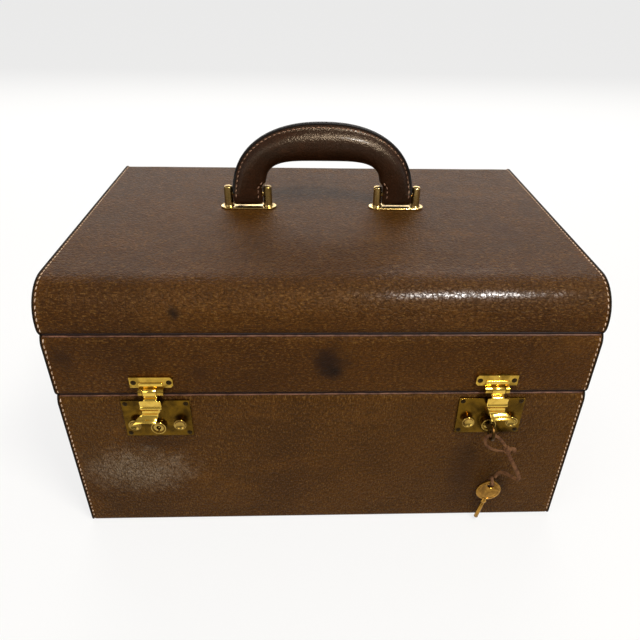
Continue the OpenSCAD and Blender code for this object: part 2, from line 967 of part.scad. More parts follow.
module lid_carcass() {
    color(wood_pale)
        difference() {
            along_x(-inner_x, inner_x)
                lid_outline(wood_in + fit);
            along_x(-room_x, room_x)
                lid_outline(room_in, lid_domes);
            translate([-room_x, -case_d / 2 + room_in, seam_2 - 1])
                cube([2 * room_x, case_d - 2 * room_in, 3]);
            leaf_rebate(seam_2 + half_gap, -1);
            leaf_screws(seam_2 + half_gap, -1, fit);
            for (x = [-catch_x, catch_x])
                translate([x, catch_y, seam_2 - 1])
                    cylinder(h = stud_h + 6 + half_gap + fit, r = clip_r + fit);
        }
}

module lid_leather() {
    color(leather_brown)
        difference() {
            along_x(-inner_x, inner_x)
                difference() {
                    lid_outline(skin_in);
                    lid_outline(wood_in);
                    translate([-case_d / 2 + wood_in, seam_2 - 1])
                        square([case_d - 2 * wood_in, lid_h / 3]);
                }
            leaf_rebate(seam_2 + half_gap, -1);
        }
}

module lid_left_panel() {
    side_panel(LEFT)
        lid_outline(0);
}

module lid_right_panel() {
    side_panel(RIGHT)
        lid_outline(0);
}

lid_lining_in = room_in + fit;
lid_ceiling = case_h - lid_lining_in - lining_t;

module lid_lining() {
    x = room_x - fit;
    color(suede_tan)
        difference() {
            along_x(-x, x)
                lid_outline(lid_lining_in, lid_domes);
            along_x(-x + lining_t, x - lining_t)
                lid_outline(lid_lining_in + lining_t, lid_domes);
            translate([-x + lining_t, front_y + lid_lining_in + lining_t, seam_2 - 1])
                cube([2 * (x - lining_t), case_d - 2 * (lid_lining_in + lining_t), 3]);
        }
}

module lid_mirror() {
    color(glass_blue)
        translate([-mirror_w / 2, -mirror_h / 2, lid_ceiling - mirror_t])
            cube([mirror_w, mirror_h, mirror_t]);
}

// A frame whose rebate holds the mirror against the lining
module mirror_frame() {
    lip = 3;
    frame_t = mirror_t + 2;
    outer = [mirror_w + 2 * (frame_w - lip), mirror_h + 2 * (frame_w - lip)];
    color(leather_brown)
        difference() {
            translate([-outer.x / 2, -outer.y / 2, lid_ceiling - frame_t])
                cube([outer.x, outer.y, frame_t]);
            translate([-mirror_w / 2 + lip, -mirror_h / 2 + lip, lid_ceiling - frame_t - 1])
                cube([mirror_w - 2 * lip, mirror_h - 2 * lip, frame_t + 2]);
            translate([-mirror_w / 2 - fit, -mirror_h / 2 - fit, lid_ceiling - mirror_t - fit])
                cube([mirror_w + 2 * fit, mirror_h + 2 * fit, mirror_t + 1]);
        }
}

module lid_hinge_leaf() {
    hinge_leaf(seam_2, -1, 1);
}

module lid_hinge_screws() {
    color(brass_yellow)
        leaf_screws(seam_2 + half_gap, -1);
}

// Handle

// An oval plate with two domed posts, bored across for the pin
module handle_mount(side) {
    color(brass_yellow)
        translate([side * handle_x, handle_y, case_h - skin_in])
            difference() {
                union() {
                    linear_extrude(mount_t)
                        union() {
                            square([mount_l - mount_w, mount_w], center = true);
                            for (u = [-1, 1])
                                translate([u * (mount_l - mount_w) / 2, 0])
                                    circle(mount_w / 2);
                        }
                    for (u = [-post_x, post_x])
                        translate([u, 0, 0])
                            post();
                }
                translate([0, 0, pin_rise + skin_in])
                    bar_x(-mount_l, mount_l, handle_pin_r + 0.02);
            }
}

module post() {
    shaft = mount_t + post_h - 1.6;
    rotate_extrude()
        union() {
            square([post_r, shaft]);
            intersection() {
                translate([0, shaft - 1.6])
                    circle(r = sqrt(post_r * post_r + 1.6 * 1.6));
                square([post_r, mount_t + post_h]);
            }
        }
}

module handle_mount_left() {
    handle_mount(LEFT);
}

module handle_mount_right() {
    handle_mount(RIGHT);
}

module handle_pin(side) {
    reach = post_x + post_r - 0.3;
    color(brass_yellow)
        translate([side * handle_x, handle_y, pin_z])
            bar_x(-reach, reach, handle_pin_r);
}

module handle_pin_left() {
    handle_pin(LEFT);
}

module handle_pin_right() {
    handle_pin(RIGHT);
}

// The grip's centre line over the right half, as a squared arch between the two pins
function arch(t) = let (e = 2.7, a = 180 * t)
    [
        -handle_x * sign(cos(a)) * pow(abs(cos(a)), 2 / e),
        grip_rise * pow(abs(sin(a)), 2 / e)
    ];

grip_rings = 48;
grip_sides = 24;

// Half height and half thickness of the section, from the ends (0) to the middle (1)
function swell(t) = pow(sin(180 * t), 0.8);
function half_h(t) = (grip_end_w + (grip_h - grip_end_w) * swell(t)) / 2;
function half_t(t) = (grip_end_t + (grip_t - grip_end_t) * swell(t)) / 2;

// The section is nearly square at the ends and an oval in the middle, where it thins to a
// stitched flange on the outer side of the arch
function grip_section(t, k) = let (
        a = 360 * k / grip_sides,
        e = 2 / (5 - 2.8 * swell(t)),
        thin = 1 - 0.42 * swell(t) * pow(max(0, cos(a)), 1.5)
    )
    [
        half_h(t) * sign(cos(a)) * pow(abs(cos(a)), e),
        half_t(t) * sign(sin(a)) * pow(abs(sin(a)), e) * thin
    ];

function unit(v) = v / norm(v);

function grip_frame(t) = let (
        d = unit(arch(min(1, t + 0.004)) - arch(max(0, t - 0.004)))
    )
    [arch(t), [-d.y, d.x]];

function grip_t_at(i) = let (u = i / grip_rings) 0.5 - 0.5 * cos(180 * u);

function grip_point(i, k) = let (
        t = grip_t_at(i),
        f = grip_frame(t),
        q = grip_section(t, k),
        p = f[0] + f[1] * q.x
    )
    [p.x, q.y, p.y];

module grip_arch() {
    points = [
        for (i = [0 : grip_rings], k = [0 : grip_sides - 1]) grip_point(i, k)
    ];
    walls = [
        for (i = [0 : grip_rings - 1], k = [0 : grip_sides - 1])
            let (
                a = i * grip_sides + k,
                b = i * grip_sides + (k + 1) % grip_sides
            )
            each [[a, b, b + grip_sides], [a, b + grip_sides, a + grip_sides]]
    ];
    near = [for (k = [1 : grip_sides - 2]) [0, k + 1, k]];
    last = grip_rings * grip_sides;
    far = [for (k = [1 : grip_sides - 2]) [last, last + k, last + k + 1]];
    polyhedron(points = points, faces = concat(walls, near, far), convexity = 6);
}

// A leather tab round each pin, its lower end rounded so that it can turn over the plate
module grip_tab() {
    intersection() {
        along_x(-grip_end_w / 2, grip_end_w / 2)
            intersection() {
                circle(tab_r);
                translate([-grip_end_t / 2, -tab_r])
                    square([grip_end_t, tab_r + 0.5]);
            }
        translate([0, 0, -tab_r])
            linear_extrude(tab_r + 0.5)
                union() {
                    square([grip_end_w - 4, grip_end_t], center = true);
                    square([grip_end_w, grip_end_t - 4], center = true);
                    for (x = [-1, 1], y = [-1, 1])
                        translate([x * (grip_end_w / 2 - 2), y * (grip_end_t / 2 - 2)])
                            circle(2);
                }
    }
}

tab_r = 8;

module handle_grip() {
    color(handle_brown)
        translate([0, handle_y, pin_z])
            difference() {
                union() {
                    grip_arch();
                    for (side = [LEFT, RIGHT])
                        translate([side * handle_x, 0, 0])
                            grip_tab();
                }
                core_shape(0.1);
                for (side = [LEFT, RIGHT])
                    translate([side * handle_x, 0, 0])
                        bar_x(-grip_end_w, grip_end_w, handle_pin_r + 0.3);
            }
}

core_w = 6;
core_t = 2.4;
eye_r = 3.6;
eye_l = 15;
core_bend = 18;

// A sprung steel bow inside the grip, with an eye at each end
module core_shape(grow = 0) {
    top = grip_rise - 2;
    out = core_t / 2 + grow;
    eye = eye_r + grow;
    between = handle_x - eye_l / 2 - grow;
    along_y(-core_w / 2 - grow, core_w / 2 + grow)
        difference() {
            union() {
                core_outline(handle_x + out, top + out, core_bend + out, -eye);
                translate([-handle_x - eye_l / 2 - grow, -eye])
                    square([2 * handle_x + eye_l + 2 * grow, 2 * eye]);
            }
            core_outline(handle_x - out, top - out, core_bend - out, eye);
            translate([-between, -eye - 1])
                square([2 * between, 2 * eye + 1.5]);
        }
}

module core_outline(x, z, r, z0) {
    union() {
        translate([-x, z0])
            square([2 * x, z - r - z0]);
        translate([-x + r, z0])
            square([2 * (x - r), z - z0]);
        for (side = [LEFT, RIGHT])
            translate([side * (x - r), z - r])
                circle(r);
    }
}

module handle_core() {
    color(steel_grey)
        translate([0, handle_y, pin_z])
            difference() {
                core_shape();
                for (side = [LEFT, RIGHT])
                    translate([side * handle_x, 0, 0])
                        bar_x(-eye_l, eye_l, handle_pin_r + run_gap);
            }
}

// Keys and thong

// A small key seen flat: its hole at the origin near the top of an oval bow, shank down
module flat_key(shank_l) {
    bow_r = 8.7;
    bow_low = -5.6;
    hole_r = 2.5;
    root = bow_low - bow_r + 0.4;
    difference() {
        union() {
            along_y(-bow_t / 2, bow_t / 2)
                union() {
                    circle(hole_r + 2.1);
                    translate([0, bow_low])
                        circle(bow_r);
                    translate([-2, root - 2])
                        square([4, 4]);
                }
            translate([0, 0, root - shank_l])
                cylinder(h = shank_l, r = shank_r);
            translate([0, 0, root - 2.6])
                cylinder(h = 1.6, r = shank_r + 0.6);
        }
        bar_y(-bow_t, bow_t, hole_r);
        translate([0, 0, root - shank_l - 1])
            cylinder(h = 7, r = shank_r - 0.6);
    }
}

// The key in the right lock, its bow upright and edge-on to the front
module lock_key() {
    bow_s = 10.2;
    color(brass_yellow)
        translate([lock_x, skin_y, barrel_axis_z])
            difference() {
                union() {
                    bar_y(-bow_s + 2, 1.2, shank_r);
                    along_x(-bow_t / 2, bow_t / 2)
                        translate([-bow_s, 0])
                            circle(5.6);
                    bar_y(-plate_t - collar_h - 0.9, -plate_t - collar_h + 0.45, shank_r + 0.5);
                }
                along_x(-bow_t, bow_t)
                    translate([-bow_s - 1.4, 0])
                        circle(2.8);
            }
}

module hanging_key() {
    color(brass_yellow)
        translate(key_hole)
            rotate([0, key_lean, 0])
                flat_key(19);
}

// Smooth points through a route, k steps to a stretch, by a cubic through four points
function route_at(p, i) = p[max(0, min(len(p) - 1, i))];
function cubic(a, b, c, d, t) = 0.5 * (
        2 * b + (c - a) * t + (2 * a - 5 * b + 4 * c - d) * t * t
        + (3 * b - a - 3 * c + d) * t * t * t
    );
function smooth(p, k) = concat([
        for (i = [0 : len(p) - 2], j = [0 : k - 1])
            cubic(route_at(p, i - 1), p[i], p[i + 1], route_at(p, i + 2), j / k)
    ], [p[len(p) - 1]]);

function heading(q, i) = unit(q[min(len(q) - 1, i + 1)] - q[max(0, i - 1)]);

// Side vectors carried along the route without twist
function sides_along(q, i, v) = i >= len(q) ? [] : let (
        d = heading(q, i),
        w = unit(v - (v * d) * d)
    )
    concat([w], sides_along(q, i + 1, w));

module lace_tube(route, r, k) {
    n = 8;
    q = smooth(route, k);
    w = sides_along(q, 0, [0.3, 1, 0.2]);
    points = [
        for (i = [0 : len(q) - 1], j = [0 : n - 1])
            let (d = heading(q, i), a = 360 * j / n)
            q[i] + r * (cos(a) * w[i] + sin(a) * cross(d, w[i]))
    ];
    last = (len(q) - 1) * n;
    walls = [
        for (i = [0 : len(q) - 2], j = [0 : n - 1])
            let (a = i * n + j, b = i * n + (j + 1) % n)
            each [[a, b + n, b], [a, a + n, b + n]]
    ];
    near = [for (j = [1 : n - 2]) [0, j, j + 1]];
    far = [for (j = [1 : n - 2]) [last, last + j + 1, last + j]];
    polyhedron(points = points, faces = concat(walls, near, far), convexity = 8);
}

module thong_loop() {
    color(lace_pink)
        lace_tube(loop_route, thong_r, 3);
}

module thong_lace() {
    color(lace_pink)
        lace_tube(lace_route, thong_r, 3);
}

// The overhand knot between the loop and the lace
module thong_knot() {
    color(lace_pink)
        translate([118.6, -124.3, 73.2])
            sphere(r = 2.9, $fn = 32);
}

// The lace's end hitched round the hanging key's bow
module key_hitch() {
    color(lace_pink)
        translate(key_hole + [0, 0, 3.4])
            rotate([0, 90, 0])
                rotate_extrude()
                    translate([2.6, 0])
                        circle(0.9, $fn = 24);
}

base_carcass();
base_leather();
base_left_panel();
base_right_panel();
base_lining();
base_divider();
base_hinge_leaf();
base_hinge_pin();
base_hinge_screws();
lock_plate_left();
lock_plate_right();
lock_case_left();
lock_case_right();
plate_screws();
tray_carcass();
tray_front_leather();
tray_back_leather();
tray_left_panel();
tray_right_panel();
tray_lining();
tray_divider();
tray_lower_leaf();
tray_upper_leaf();
lid_hinge_pin();
tray_hinge_screws();
hasp_plate_left();
hasp_plate_right();
hasp_pin_left();
hasp_pin_right();
hasp_plate_screws();
catch_studs();
lid_carcass();
lid_leather();
lid_left_panel();
lid_right_panel();
lid_lining();
lid_mirror();
mirror_frame();
lid_hinge_leaf();
lid_hinge_screws();
catch_clips();
handle_mount_left();
handle_mount_right();
handle_pin_left();
handle_pin_right();
handle_grip();
handle_core();
hasp_left();
hasp_right();
slide_left();
slide_right();
barrel_left();
barrel_right();
lock_key();
thong_loop();
thong_knot();
thong_lace();
key_hitch();
hanging_key();
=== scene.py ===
"""A fitted dressing box in brown pigskin: base, tray tier and domed lid, brass locks, padded handle, key on a lace.

Lengths are written in millimetres and turned into metres where a mesh is made. The frame is the CAD part's own:
origin at the centre of the resting face, +X along the width, the front faces -Y, +Z up.
"""
import math
import bmesh
import bpy
import numpy as np
from mathutils import Matrix, Vector


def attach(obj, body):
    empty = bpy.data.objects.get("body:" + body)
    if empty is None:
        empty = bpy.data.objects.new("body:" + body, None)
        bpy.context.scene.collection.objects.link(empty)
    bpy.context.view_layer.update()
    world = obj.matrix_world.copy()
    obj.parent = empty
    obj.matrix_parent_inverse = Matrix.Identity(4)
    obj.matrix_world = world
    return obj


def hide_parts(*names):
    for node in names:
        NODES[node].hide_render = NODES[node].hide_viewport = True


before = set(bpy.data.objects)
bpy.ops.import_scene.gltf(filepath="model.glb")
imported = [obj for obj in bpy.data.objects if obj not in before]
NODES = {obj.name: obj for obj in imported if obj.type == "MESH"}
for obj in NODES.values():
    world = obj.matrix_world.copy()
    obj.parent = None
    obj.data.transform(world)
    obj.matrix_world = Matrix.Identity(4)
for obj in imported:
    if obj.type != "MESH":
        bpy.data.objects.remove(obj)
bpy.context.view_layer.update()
MM = 0.001
rng = np.random.default_rng(11)

# ---------------------------------------------------------------- sizes, in millimetres
CASE_W, CASE_D, CASE_H = 330.0, 232.0, 187.0
SEAM_1, SEAM_2 = 113.0, 156.5
FRONT, BACK = -CASE_D / 2, CASE_D / 2
PANEL_T = 1.6
INNER_X = CASE_W / 2 - PANEL_T
SKIN_IN, WOOD_IN = 0.6, 2.0
GAP = 0.1
HANDLE_X, HANDLE_Y, PIN_Z = 53.7, 11.5, 196.5
GRIP_RISE = 37.0
LOCK_X = 105.4
PLATE_LOW, PLATE_TOP, PLATE_T = 81.6, 110.0, 1.2
BARREL_Z = 89.6
KNOB_X, KNOB_Z = 14.0, 92.8
HASP_Z, HASP_S = 118.2, 2.7
SKIN_Y = FRONT + SKIN_IN
KEY_HOLE = np.array([115.5, -120.0, 35.7])
KEY_LEAN = 10.0
LOOP_ROUTE = np.array([
    [117.6, -124.4, 75.6], [114, -125.3, 81.2], [109.6, -126.5, 86.4], [105.4, -127, 88.4],
    [102, -126.9, 85.6], [103.4, -126.3, 80], [107.4, -125.4, 75.4], [112.6, -124.7, 72.6], [116.6, -124.3, 72]])
LACE_ROUTE = np.array([
    [119.8, -124.2, 71], [122.2, -124.8, 65.6], [126, -125.2, 59], [129.6, -125, 52],
    [132, -124.4, 46.4], [132.2, -122.4, 43], [130, -120.4, 42.6], [126.6, -119.2, 44.2],
    [122.6, -118.6, 46], [119.4, -118.8, 45.4], [117, -119.5, 42.6]])
KNOT = np.array([118.6, -124.3, 73.2])

# ---------------------------------------------------------------- camera
YAW, PITCH, ROLL = (math.radians(a) for a in (2.71, 33.2, 1.3))
forward = Vector((math.sin(YAW) * math.cos(PITCH), math.cos(YAW) * math.cos(PITCH), -math.sin(PITCH)))
level = Vector((math.cos(YAW), -math.sin(YAW), 0))
above = level.cross(forward)
across = math.cos(ROLL) * level + math.sin(ROLL) * above
upward = -math.sin(ROLL) * level + math.cos(ROLL) * above
lens_data = bpy.data.cameras.new("camera")
lens_data.sensor_width = 36
lens_data.lens = 593.22 / 640 * 36
lens_data.shift_x = (320 - 332) / 640
lens_data.shift_y = (336 - 320) / 640
lens_data.clip_start, lens_data.clip_end = 0.01, 50
camera = bpy.data.objects.new("camera", lens_data)
bpy.context.scene.collection.objects.link(camera)
camera.matrix_world = Matrix.Translation(Vector((-10.64, -403.87, 345.47)) * MM) @ Matrix(
    (across, upward, -forward)).transposed().to_4x4()
bpy.context.scene.camera = camera


# ---------------------------------------------------------------- mesh tools
def link_mesh(name, verts, faces, smooth=True, attributes=None):
    """A mesh object from points in millimetres and lists of corner numbers; point attributes are arrays."""
    mesh = bpy.data.meshes.new(name)
    mesh.from_pydata((np.asarray(verts, float) * MM).tolist(), [], [list(map(int, f)) for f in faces])
    mesh.update()
    if smooth:
        mesh.polygons.foreach_set("use_smooth", np.ones(len(mesh.polygons), bool))
    for key, values in (attributes or {}).items():
        layer = mesh.attributes.new(key, "FLOAT", "POINT")
        layer.data.foreach_set("value", np.asarray(values, np.float32))
    obj = bpy.data.objects.new(name, mesh)
    bpy.context.scene.collection.objects.link(obj)
    return obj


def grid_faces(rows, cols, wrap_rows=False, wrap_cols=False):
    """Corner numbers of the quads of a rows x cols grid of points, closed along either way if asked."""
    i = np.arange(rows if wrap_rows else rows - 1)[:, None]
    j = np.arange(cols if wrap_cols else cols - 1)[None, :]
    i2, j2 = (i + 1) % rows, (j + 1) % cols
    return np.stack([i * cols + j, i * cols + j2, i2 * cols + j2, i2 * cols + j], -1).reshape(-1, 4)


def outward(verts, faces):
    """The faces of a closed mesh, turned over as a whole if its signed volume is negative."""
    verts = np.asarray(verts, float)
    total = 0.0
    for f in faces:
        p = verts[list(f)]
        for k in range(1, len(f) - 1):
            total += np.dot(p[0], np.cross(p[k], p[k + 1]))
    return [list(f)[::-1] for f in faces] if total < 0 else [list(f) for f in faces]


def merged(parts):
    """Several (points, faces) as one."""
    verts, faces, start = [], [], 0
    for v, f in parts:
        verts.append(np.asarray(v, float))
        faces += [[int(c) + start for c in face] for face in f]
        start += len(v)
    return np.concatenate(verts), faces


def shell(outer, inner):
    """A closed sheet between two grids of points of one size."""
    rows, cols = outer.shape[:2]
    n = rows * cols
    front = grid_faces(rows, cols)
    back = grid_faces(rows, cols)[:, ::-1] + n
    edge = list(range(cols)) + [r * cols + cols - 1 for r in range(1, rows)] + [
        (rows - 1) * cols + c for c in range(cols - 2, -1, -1)] + [r * cols for r in range(rows - 2, 0, -1)]
    rim = [[edge[k], edge[(k + 1) % len(edge)], edge[(k + 1) % len(edge)] + n, edge[k] + n][::-1]
           for k in range(len(edge))]
    verts = np.concatenate([outer.reshape(-1, 3), inner.reshape(-1, 3)])
    return verts, outward(verts, front.tolist() + back.tolist() + rim)


def tube(rings, closed=False):
    """A closed surface over rings of points (n, m, 3), with its two ends filled unless it runs round."""
    n, m = rings.shape[:2]
    verts = rings.reshape(-1, 3)
    faces = grid_faces(n, m, wrap_rows=closed, wrap_cols=True).tolist()
    if not closed:
        verts = np.concatenate([verts, rings[0].mean(0)[None], rings[-1].mean(0)[None]])
        a, b = n * m, n * m + 1
        faces += [[a, (j + 1) % m, j] for j in range(m)]
        faces += [[b, (n - 1) * m + j, (n - 1) * m + (j + 1) % m] for j in range(m)]
    return verts, outward(verts, faces)


def turned(profile, centre, axis, sides=40, ring=False):
    """A profile of (radius, height) turned about an axis through centre; a ring's profile runs round to its start."""
    axis = np.asarray(axis, float) / np.linalg.norm(axis)
    u = np.cross(axis, [0.3, 0.5, 0.8])
    u /= np.linalg.norm(u)
    v = np.cross(axis, u)
    a = np.linspace(0, 2 * np.pi, sides, endpoint=False)
    p = np.asarray(profile, float)
    spokes = np.cos(a)[:, None] * u + np.sin(a)[:, None] * v
    pts = np.asarray(centre) + p[:, 1, None, None] * axis + p[:, 0, None, None] * spokes[None]
    return tube(pts, closed=ring)


def rounded_line(points, step=0.6):
    """Points every step along a polyline, ends kept."""
    p = np.asarray(points, float)
    d = np.r_[0, np.cumsum(np.linalg.norm(np.diff(p, axis=0), axis=1))]
    s = np.linspace(0, d[-1], max(2, int(round(d[-1] / step)) + 1))
    return np.stack([np.interp(s, d, p[:, k]) for k in range(p.shape[1])], 1)


def cubic_route(p, k=12):
    """A smooth line through the points: each stretch is the cubic set by its four nearest points."""
    p = np.asarray(p, float)
    q = np.concatenate([p[:1], p, p[-1:]])
    t = (np.arange(k) / k)[None, :, None]
    a, b, c, d = (q[i:len(p) - 1 + i, None] for i in range(4))
    out = 0.5 * (2 * b + (c - a) * t + (2 * a - 5 * b + 4 * c - d) * t ** 2 + (3 * b - a - 3 * c + d) * t ** 3)
    return np.concatenate([out.reshape(-1, p.shape[1]), p[-1:]])


# ---------------------------------------------------------------- tier outlines
# each corner: y, z, inward y, inward z, height and depth of its rounding
F_LOW, F_HIGH, B_HIGH, B_LOW = range(4)


def corner(y, z, iy, iz, rise, depth, z_stop=None):
    return dict(y=y, z=z, iy=iy, iz=iz, rise=rise, depth=depth, z_stop=z if z_stop is None else z_stop)


TIERS = {
    "base": [corner(FRONT, 0, 1, 1, 3, 3), corner(FRONT, SEAM_1, 1, -1, 6.5, 2.4, SEAM_1 - GAP),
             corner(BACK, SEAM_1, -1, -1, 3, 1, SEAM_1 - GAP), corner(BACK, 0, -1, 1, 3, 3)],
    "tray": [corner(FRONT, SEAM_1, 1, 1, 4.5, 2.4, SEAM_1 + GAP), corner(FRONT, SEAM_2, 1, -1, 6.5, 2.4, SEAM_2 - GAP),
             corner(BACK, SEAM_2, -1, -1, 3, 1, SEAM_2 - GAP), corner(BACK, SEAM_1, -1, 1, 3, 1, SEAM_1 + GAP)],
    "lid": [corner(FRONT, SEAM_2, 1, 1, 6, 2.4, SEAM_2 + GAP), corner(FRONT, CASE_H, 1, -1, 23, 23),
            corner(BACK, CASE_H, -1, -1, 15, 15), corner(BACK, SEAM_2, -1, 1, 3, 1, SEAM_2 + GAP)],
}


def rounding(c, inset, n):
    """Points of one corner, from the upright face round to the seam or the flat: a circle of radius
    (rise^2 + depth^2) / (2 depth), drawn in by the inset."""
    r = (c["rise"] ** 2 + c["depth"] ** 2) / (2 * c["depth"])
    reach = max(r - inset, 0.05)
    stop = abs(c["z_stop"] - (c["z"] + c["iz"] * c["rise"]))
    full = c["rise"] == c["depth"]
    last = math.pi / 2 if full else math.asin(min(1, stop / reach))
    a = np.linspace(0, last, n)
    y = c["y"] + c["iy"] * (r - reach * np.cos(a))
    z = c["z"] + c["iz"] * (c["rise"] - reach * np.sin(a))
    return np.stack([y, z], 1)


def outline(tier, inset, n=14):
    """The closed outline of a tier in (y, z): up the front, back over the top, down the back, then along the bottom."""
    c = TIERS[tier]
    return np.concatenate([rounding(c[0], inset, n)[::-1], rounding(c[1], inset, n),
                           rounding(c[2], inset, n)[::-1], rounding(c[3], inset, n)])


def skin_line(tier, part, inset, n=14):
    """The open line that a tier's leather follows at an inset."""
    c = TIERS[tier]
    if tier == "base":
        foot = [dict(c[k], z=-SKIN_IN) for k in (F_LOW, B_LOW)]
        return np.concatenate([rounding(c[F_HIGH], inset, n)[::-1], rounding(foot[0], inset, n),
                               rounding(foot[1], inset, n)[::-1], rounding(c[B_HIGH], inset, n)])
    if tier == "lid":
        return outline("lid", inset, n)
    if part == "front":
        return np.concatenate([rounding(c[0], inset, n)[::-1], rounding(c[1], inset, n)])
    return np.concatenate([rounding(c[2], inset, n)[::-1], rounding(c[3], inset, n)])


def evenly(line, step):
    """The same line with long stretches divided, its own points kept."""
    out = [line[:1]]
    for a, b in zip(line[:-1], line[1:]):
        k = max(1, int(np.linalg.norm(b - a) / step))
        t = (np.arange(1, k + 1) / k)[:, None]
        out.append(a + (b - a) * t)
    return np.concatenate(out)


def paired(outer, inner, step):
    """Two lines with the same number of points, divided alike by the outer one's stretches."""
    a_out, b_out = [outer[:1]], [inner[:1]]
    for k in range(len(outer) - 1):
        n = max(1, int(np.linalg.norm(outer[k + 1] - outer[k]) / step))
        t = (np.arange(1, n + 1) / n)[:, None]
        a_out.append(outer[k] + (outer[k + 1] - outer[k]) * t)
        b_out.append(inner[k] + (inner[k + 1] - inner[k]) * t)
    return np.concatenate(a_out), np.concatenate(b_out)


def swell_noise(x, s, seed, scale):
    """A smooth random height over (x, s): a sum of eight slow waves in random directions."""
    r = np.random.default_rng(seed)
    out = np.zeros(np.broadcast(x, s).shape)
    for k in range(8):
        a = r.uniform(0, np.pi * 2)
        f = r.uniform(0.5, 1.6) / scale
        out += np.sin(2 * np.pi * f * (np.cos(a) * x + np.sin(a) * s) + r.uniform(0, 6.28)) / 8
    return out


STITCH_IN = 2.3
GROOVE = 163.2


def leather_cover(name, tier, part, seed):
    """The leather of a tier: its line carried along x, raised by slow waves that lie flat about the locks, and pressed
    in under the stitches.
    Height over the line = 0.3 * waves - 0.3 * exp(-((|x| - groove) / 0.32)^2)."""
    outer, inner = paired(skin_line(tier, part, SKIN_IN), skin_line(tier, part, WOOD_IN - 0.02), 6)
    d = np.gradient(outer, axis=0)
    d /= np.linalg.norm(d, axis=1)[:, None]
    normal = np.stack([-d[:, 1], d[:, 0]], 1)
    if tier == "base":
        normal = -normal
    s = np.r_[0, np.cumsum(np.linalg.norm(np.diff(outer, axis=0), axis=1))]
    edge = np.array([163.38, 163.3, 163.2, 163.08, 162.95, 162.8, 162.65, 162.45, 162.1, 161.6, 160.8, 159.2, 156])
    xs = np.r_[-edge, np.linspace(-150, 150, 51), edge[::-1]]
    fade = np.clip((163.4 - np.abs(xs)) / 12, 0, 1)[:, None] * np.clip(np.minimum(s, s[-1] - s) / 12, 0, 1)[None, :]
    fade *= 1 - np.exp(-((np.abs(xs) - LOCK_X) / 24) ** 4)[:, None]
    if tier == "base":
        fade *= np.clip((outer[:, 1] - 2) / 14, 0, 1)[None, :]
    height = 0.3 * swell_noise(xs[:, None], s[None, :], seed, 90) * fade
    height = height - 0.3 * np.exp(-((np.abs(xs) - GROOVE) / 0.32) ** 2)[:, None]
    rows, cols = len(xs), len(outer)
    out = np.zeros((rows, cols, 3))
    out[..., 0] = xs[:, None]
    out[..., 1] = outer[:, 0] + normal[:, 0] * height
    out[..., 2] = outer[:, 1] + normal[:, 1] * height
    back = np.zeros_like(out)
    back[..., 0] = xs[:, None]
    back[..., 1], back[..., 2] = inner[:, 0], inner[:, 1]
    verts, faces = shell(out, back)
    wear = np.zeros((rows, cols))
    wear += 0.8 * np.exp(-(163.4 - np.abs(xs)) / 1.6)[:, None]
    wear = np.concatenate([wear.ravel(), wear.ravel() * 0])
    return link_mesh(name, verts, faces, attributes={"wear": wear})


def side_panel(name, tier, side):
    """A side panel: rings of the tier's outline drawn in, the outer face a little pillowed, its edge left for paint."""
    insets = [0.95, 1.1, 1.5, 1.9, 2.2, 2.4, 2.6, 2.9, 3.4]
    lift = [-0.12, 0.0, 0.02, -0.05, -0.26, -0.32, -0.26, -0.04, 0.0]
    rings = [np.column_stack([np.full(len(outline(tier, 1)), INNER_X + 0.02), outline(tier, 0.95)])]
    for i, h in zip(insets, lift):
        o = outline(tier, i)
        rings.append(np.column_stack([np.full(len(o), CASE_W / 2 - 0.14 + h), o]))
    last = outline(tier, 3.4)
    centre = last.mean(0)
    for t in (0.12, 0.3, 0.5, 0.7, 0.9, 1.0):
        o = last + (centre - last) * t
        rings.append(np.column_stack([np.full(len(o), CASE_W / 2 - 0.14), o]))
    back = np.column_stack([np.full(len(last), INNER_X + 0.02), last + (centre - last) * 0.0])
    rings = np.stack([back] + rings)
    rings[..., 0] *= side
    verts, faces = tube(rings)
    return link_mesh(name, verts, faces)


def painted_edge(name, tier, side):
    """The painted edge of a panel: a rounded section carried round the tier's outline."""
    section = [(163.42, 0.97), (163.4, 0.72), (163.55, 0.62), (163.85, 0.56), (164.02, 0.3), (164.16, 0.08), (164.4, 0.0),
               (164.7, 0.04), (164.9, 0.16), (164.97, 0.36), (164.97, 0.6), (164.88, 0.97)]
    rings = np.stack([np.column_stack([np.full(len(outline(tier, i)), x), outline(tier, i)])
                      for x, i in section], 1)
    rings[..., 0] *= side
    verts, faces = tube(rings, closed=True)
    paint = np.clip((np.abs(verts[:, 0]) - 163.86) / 0.12, 0, 1)
    return link_mesh(name, verts, faces, attributes={"paint": paint})


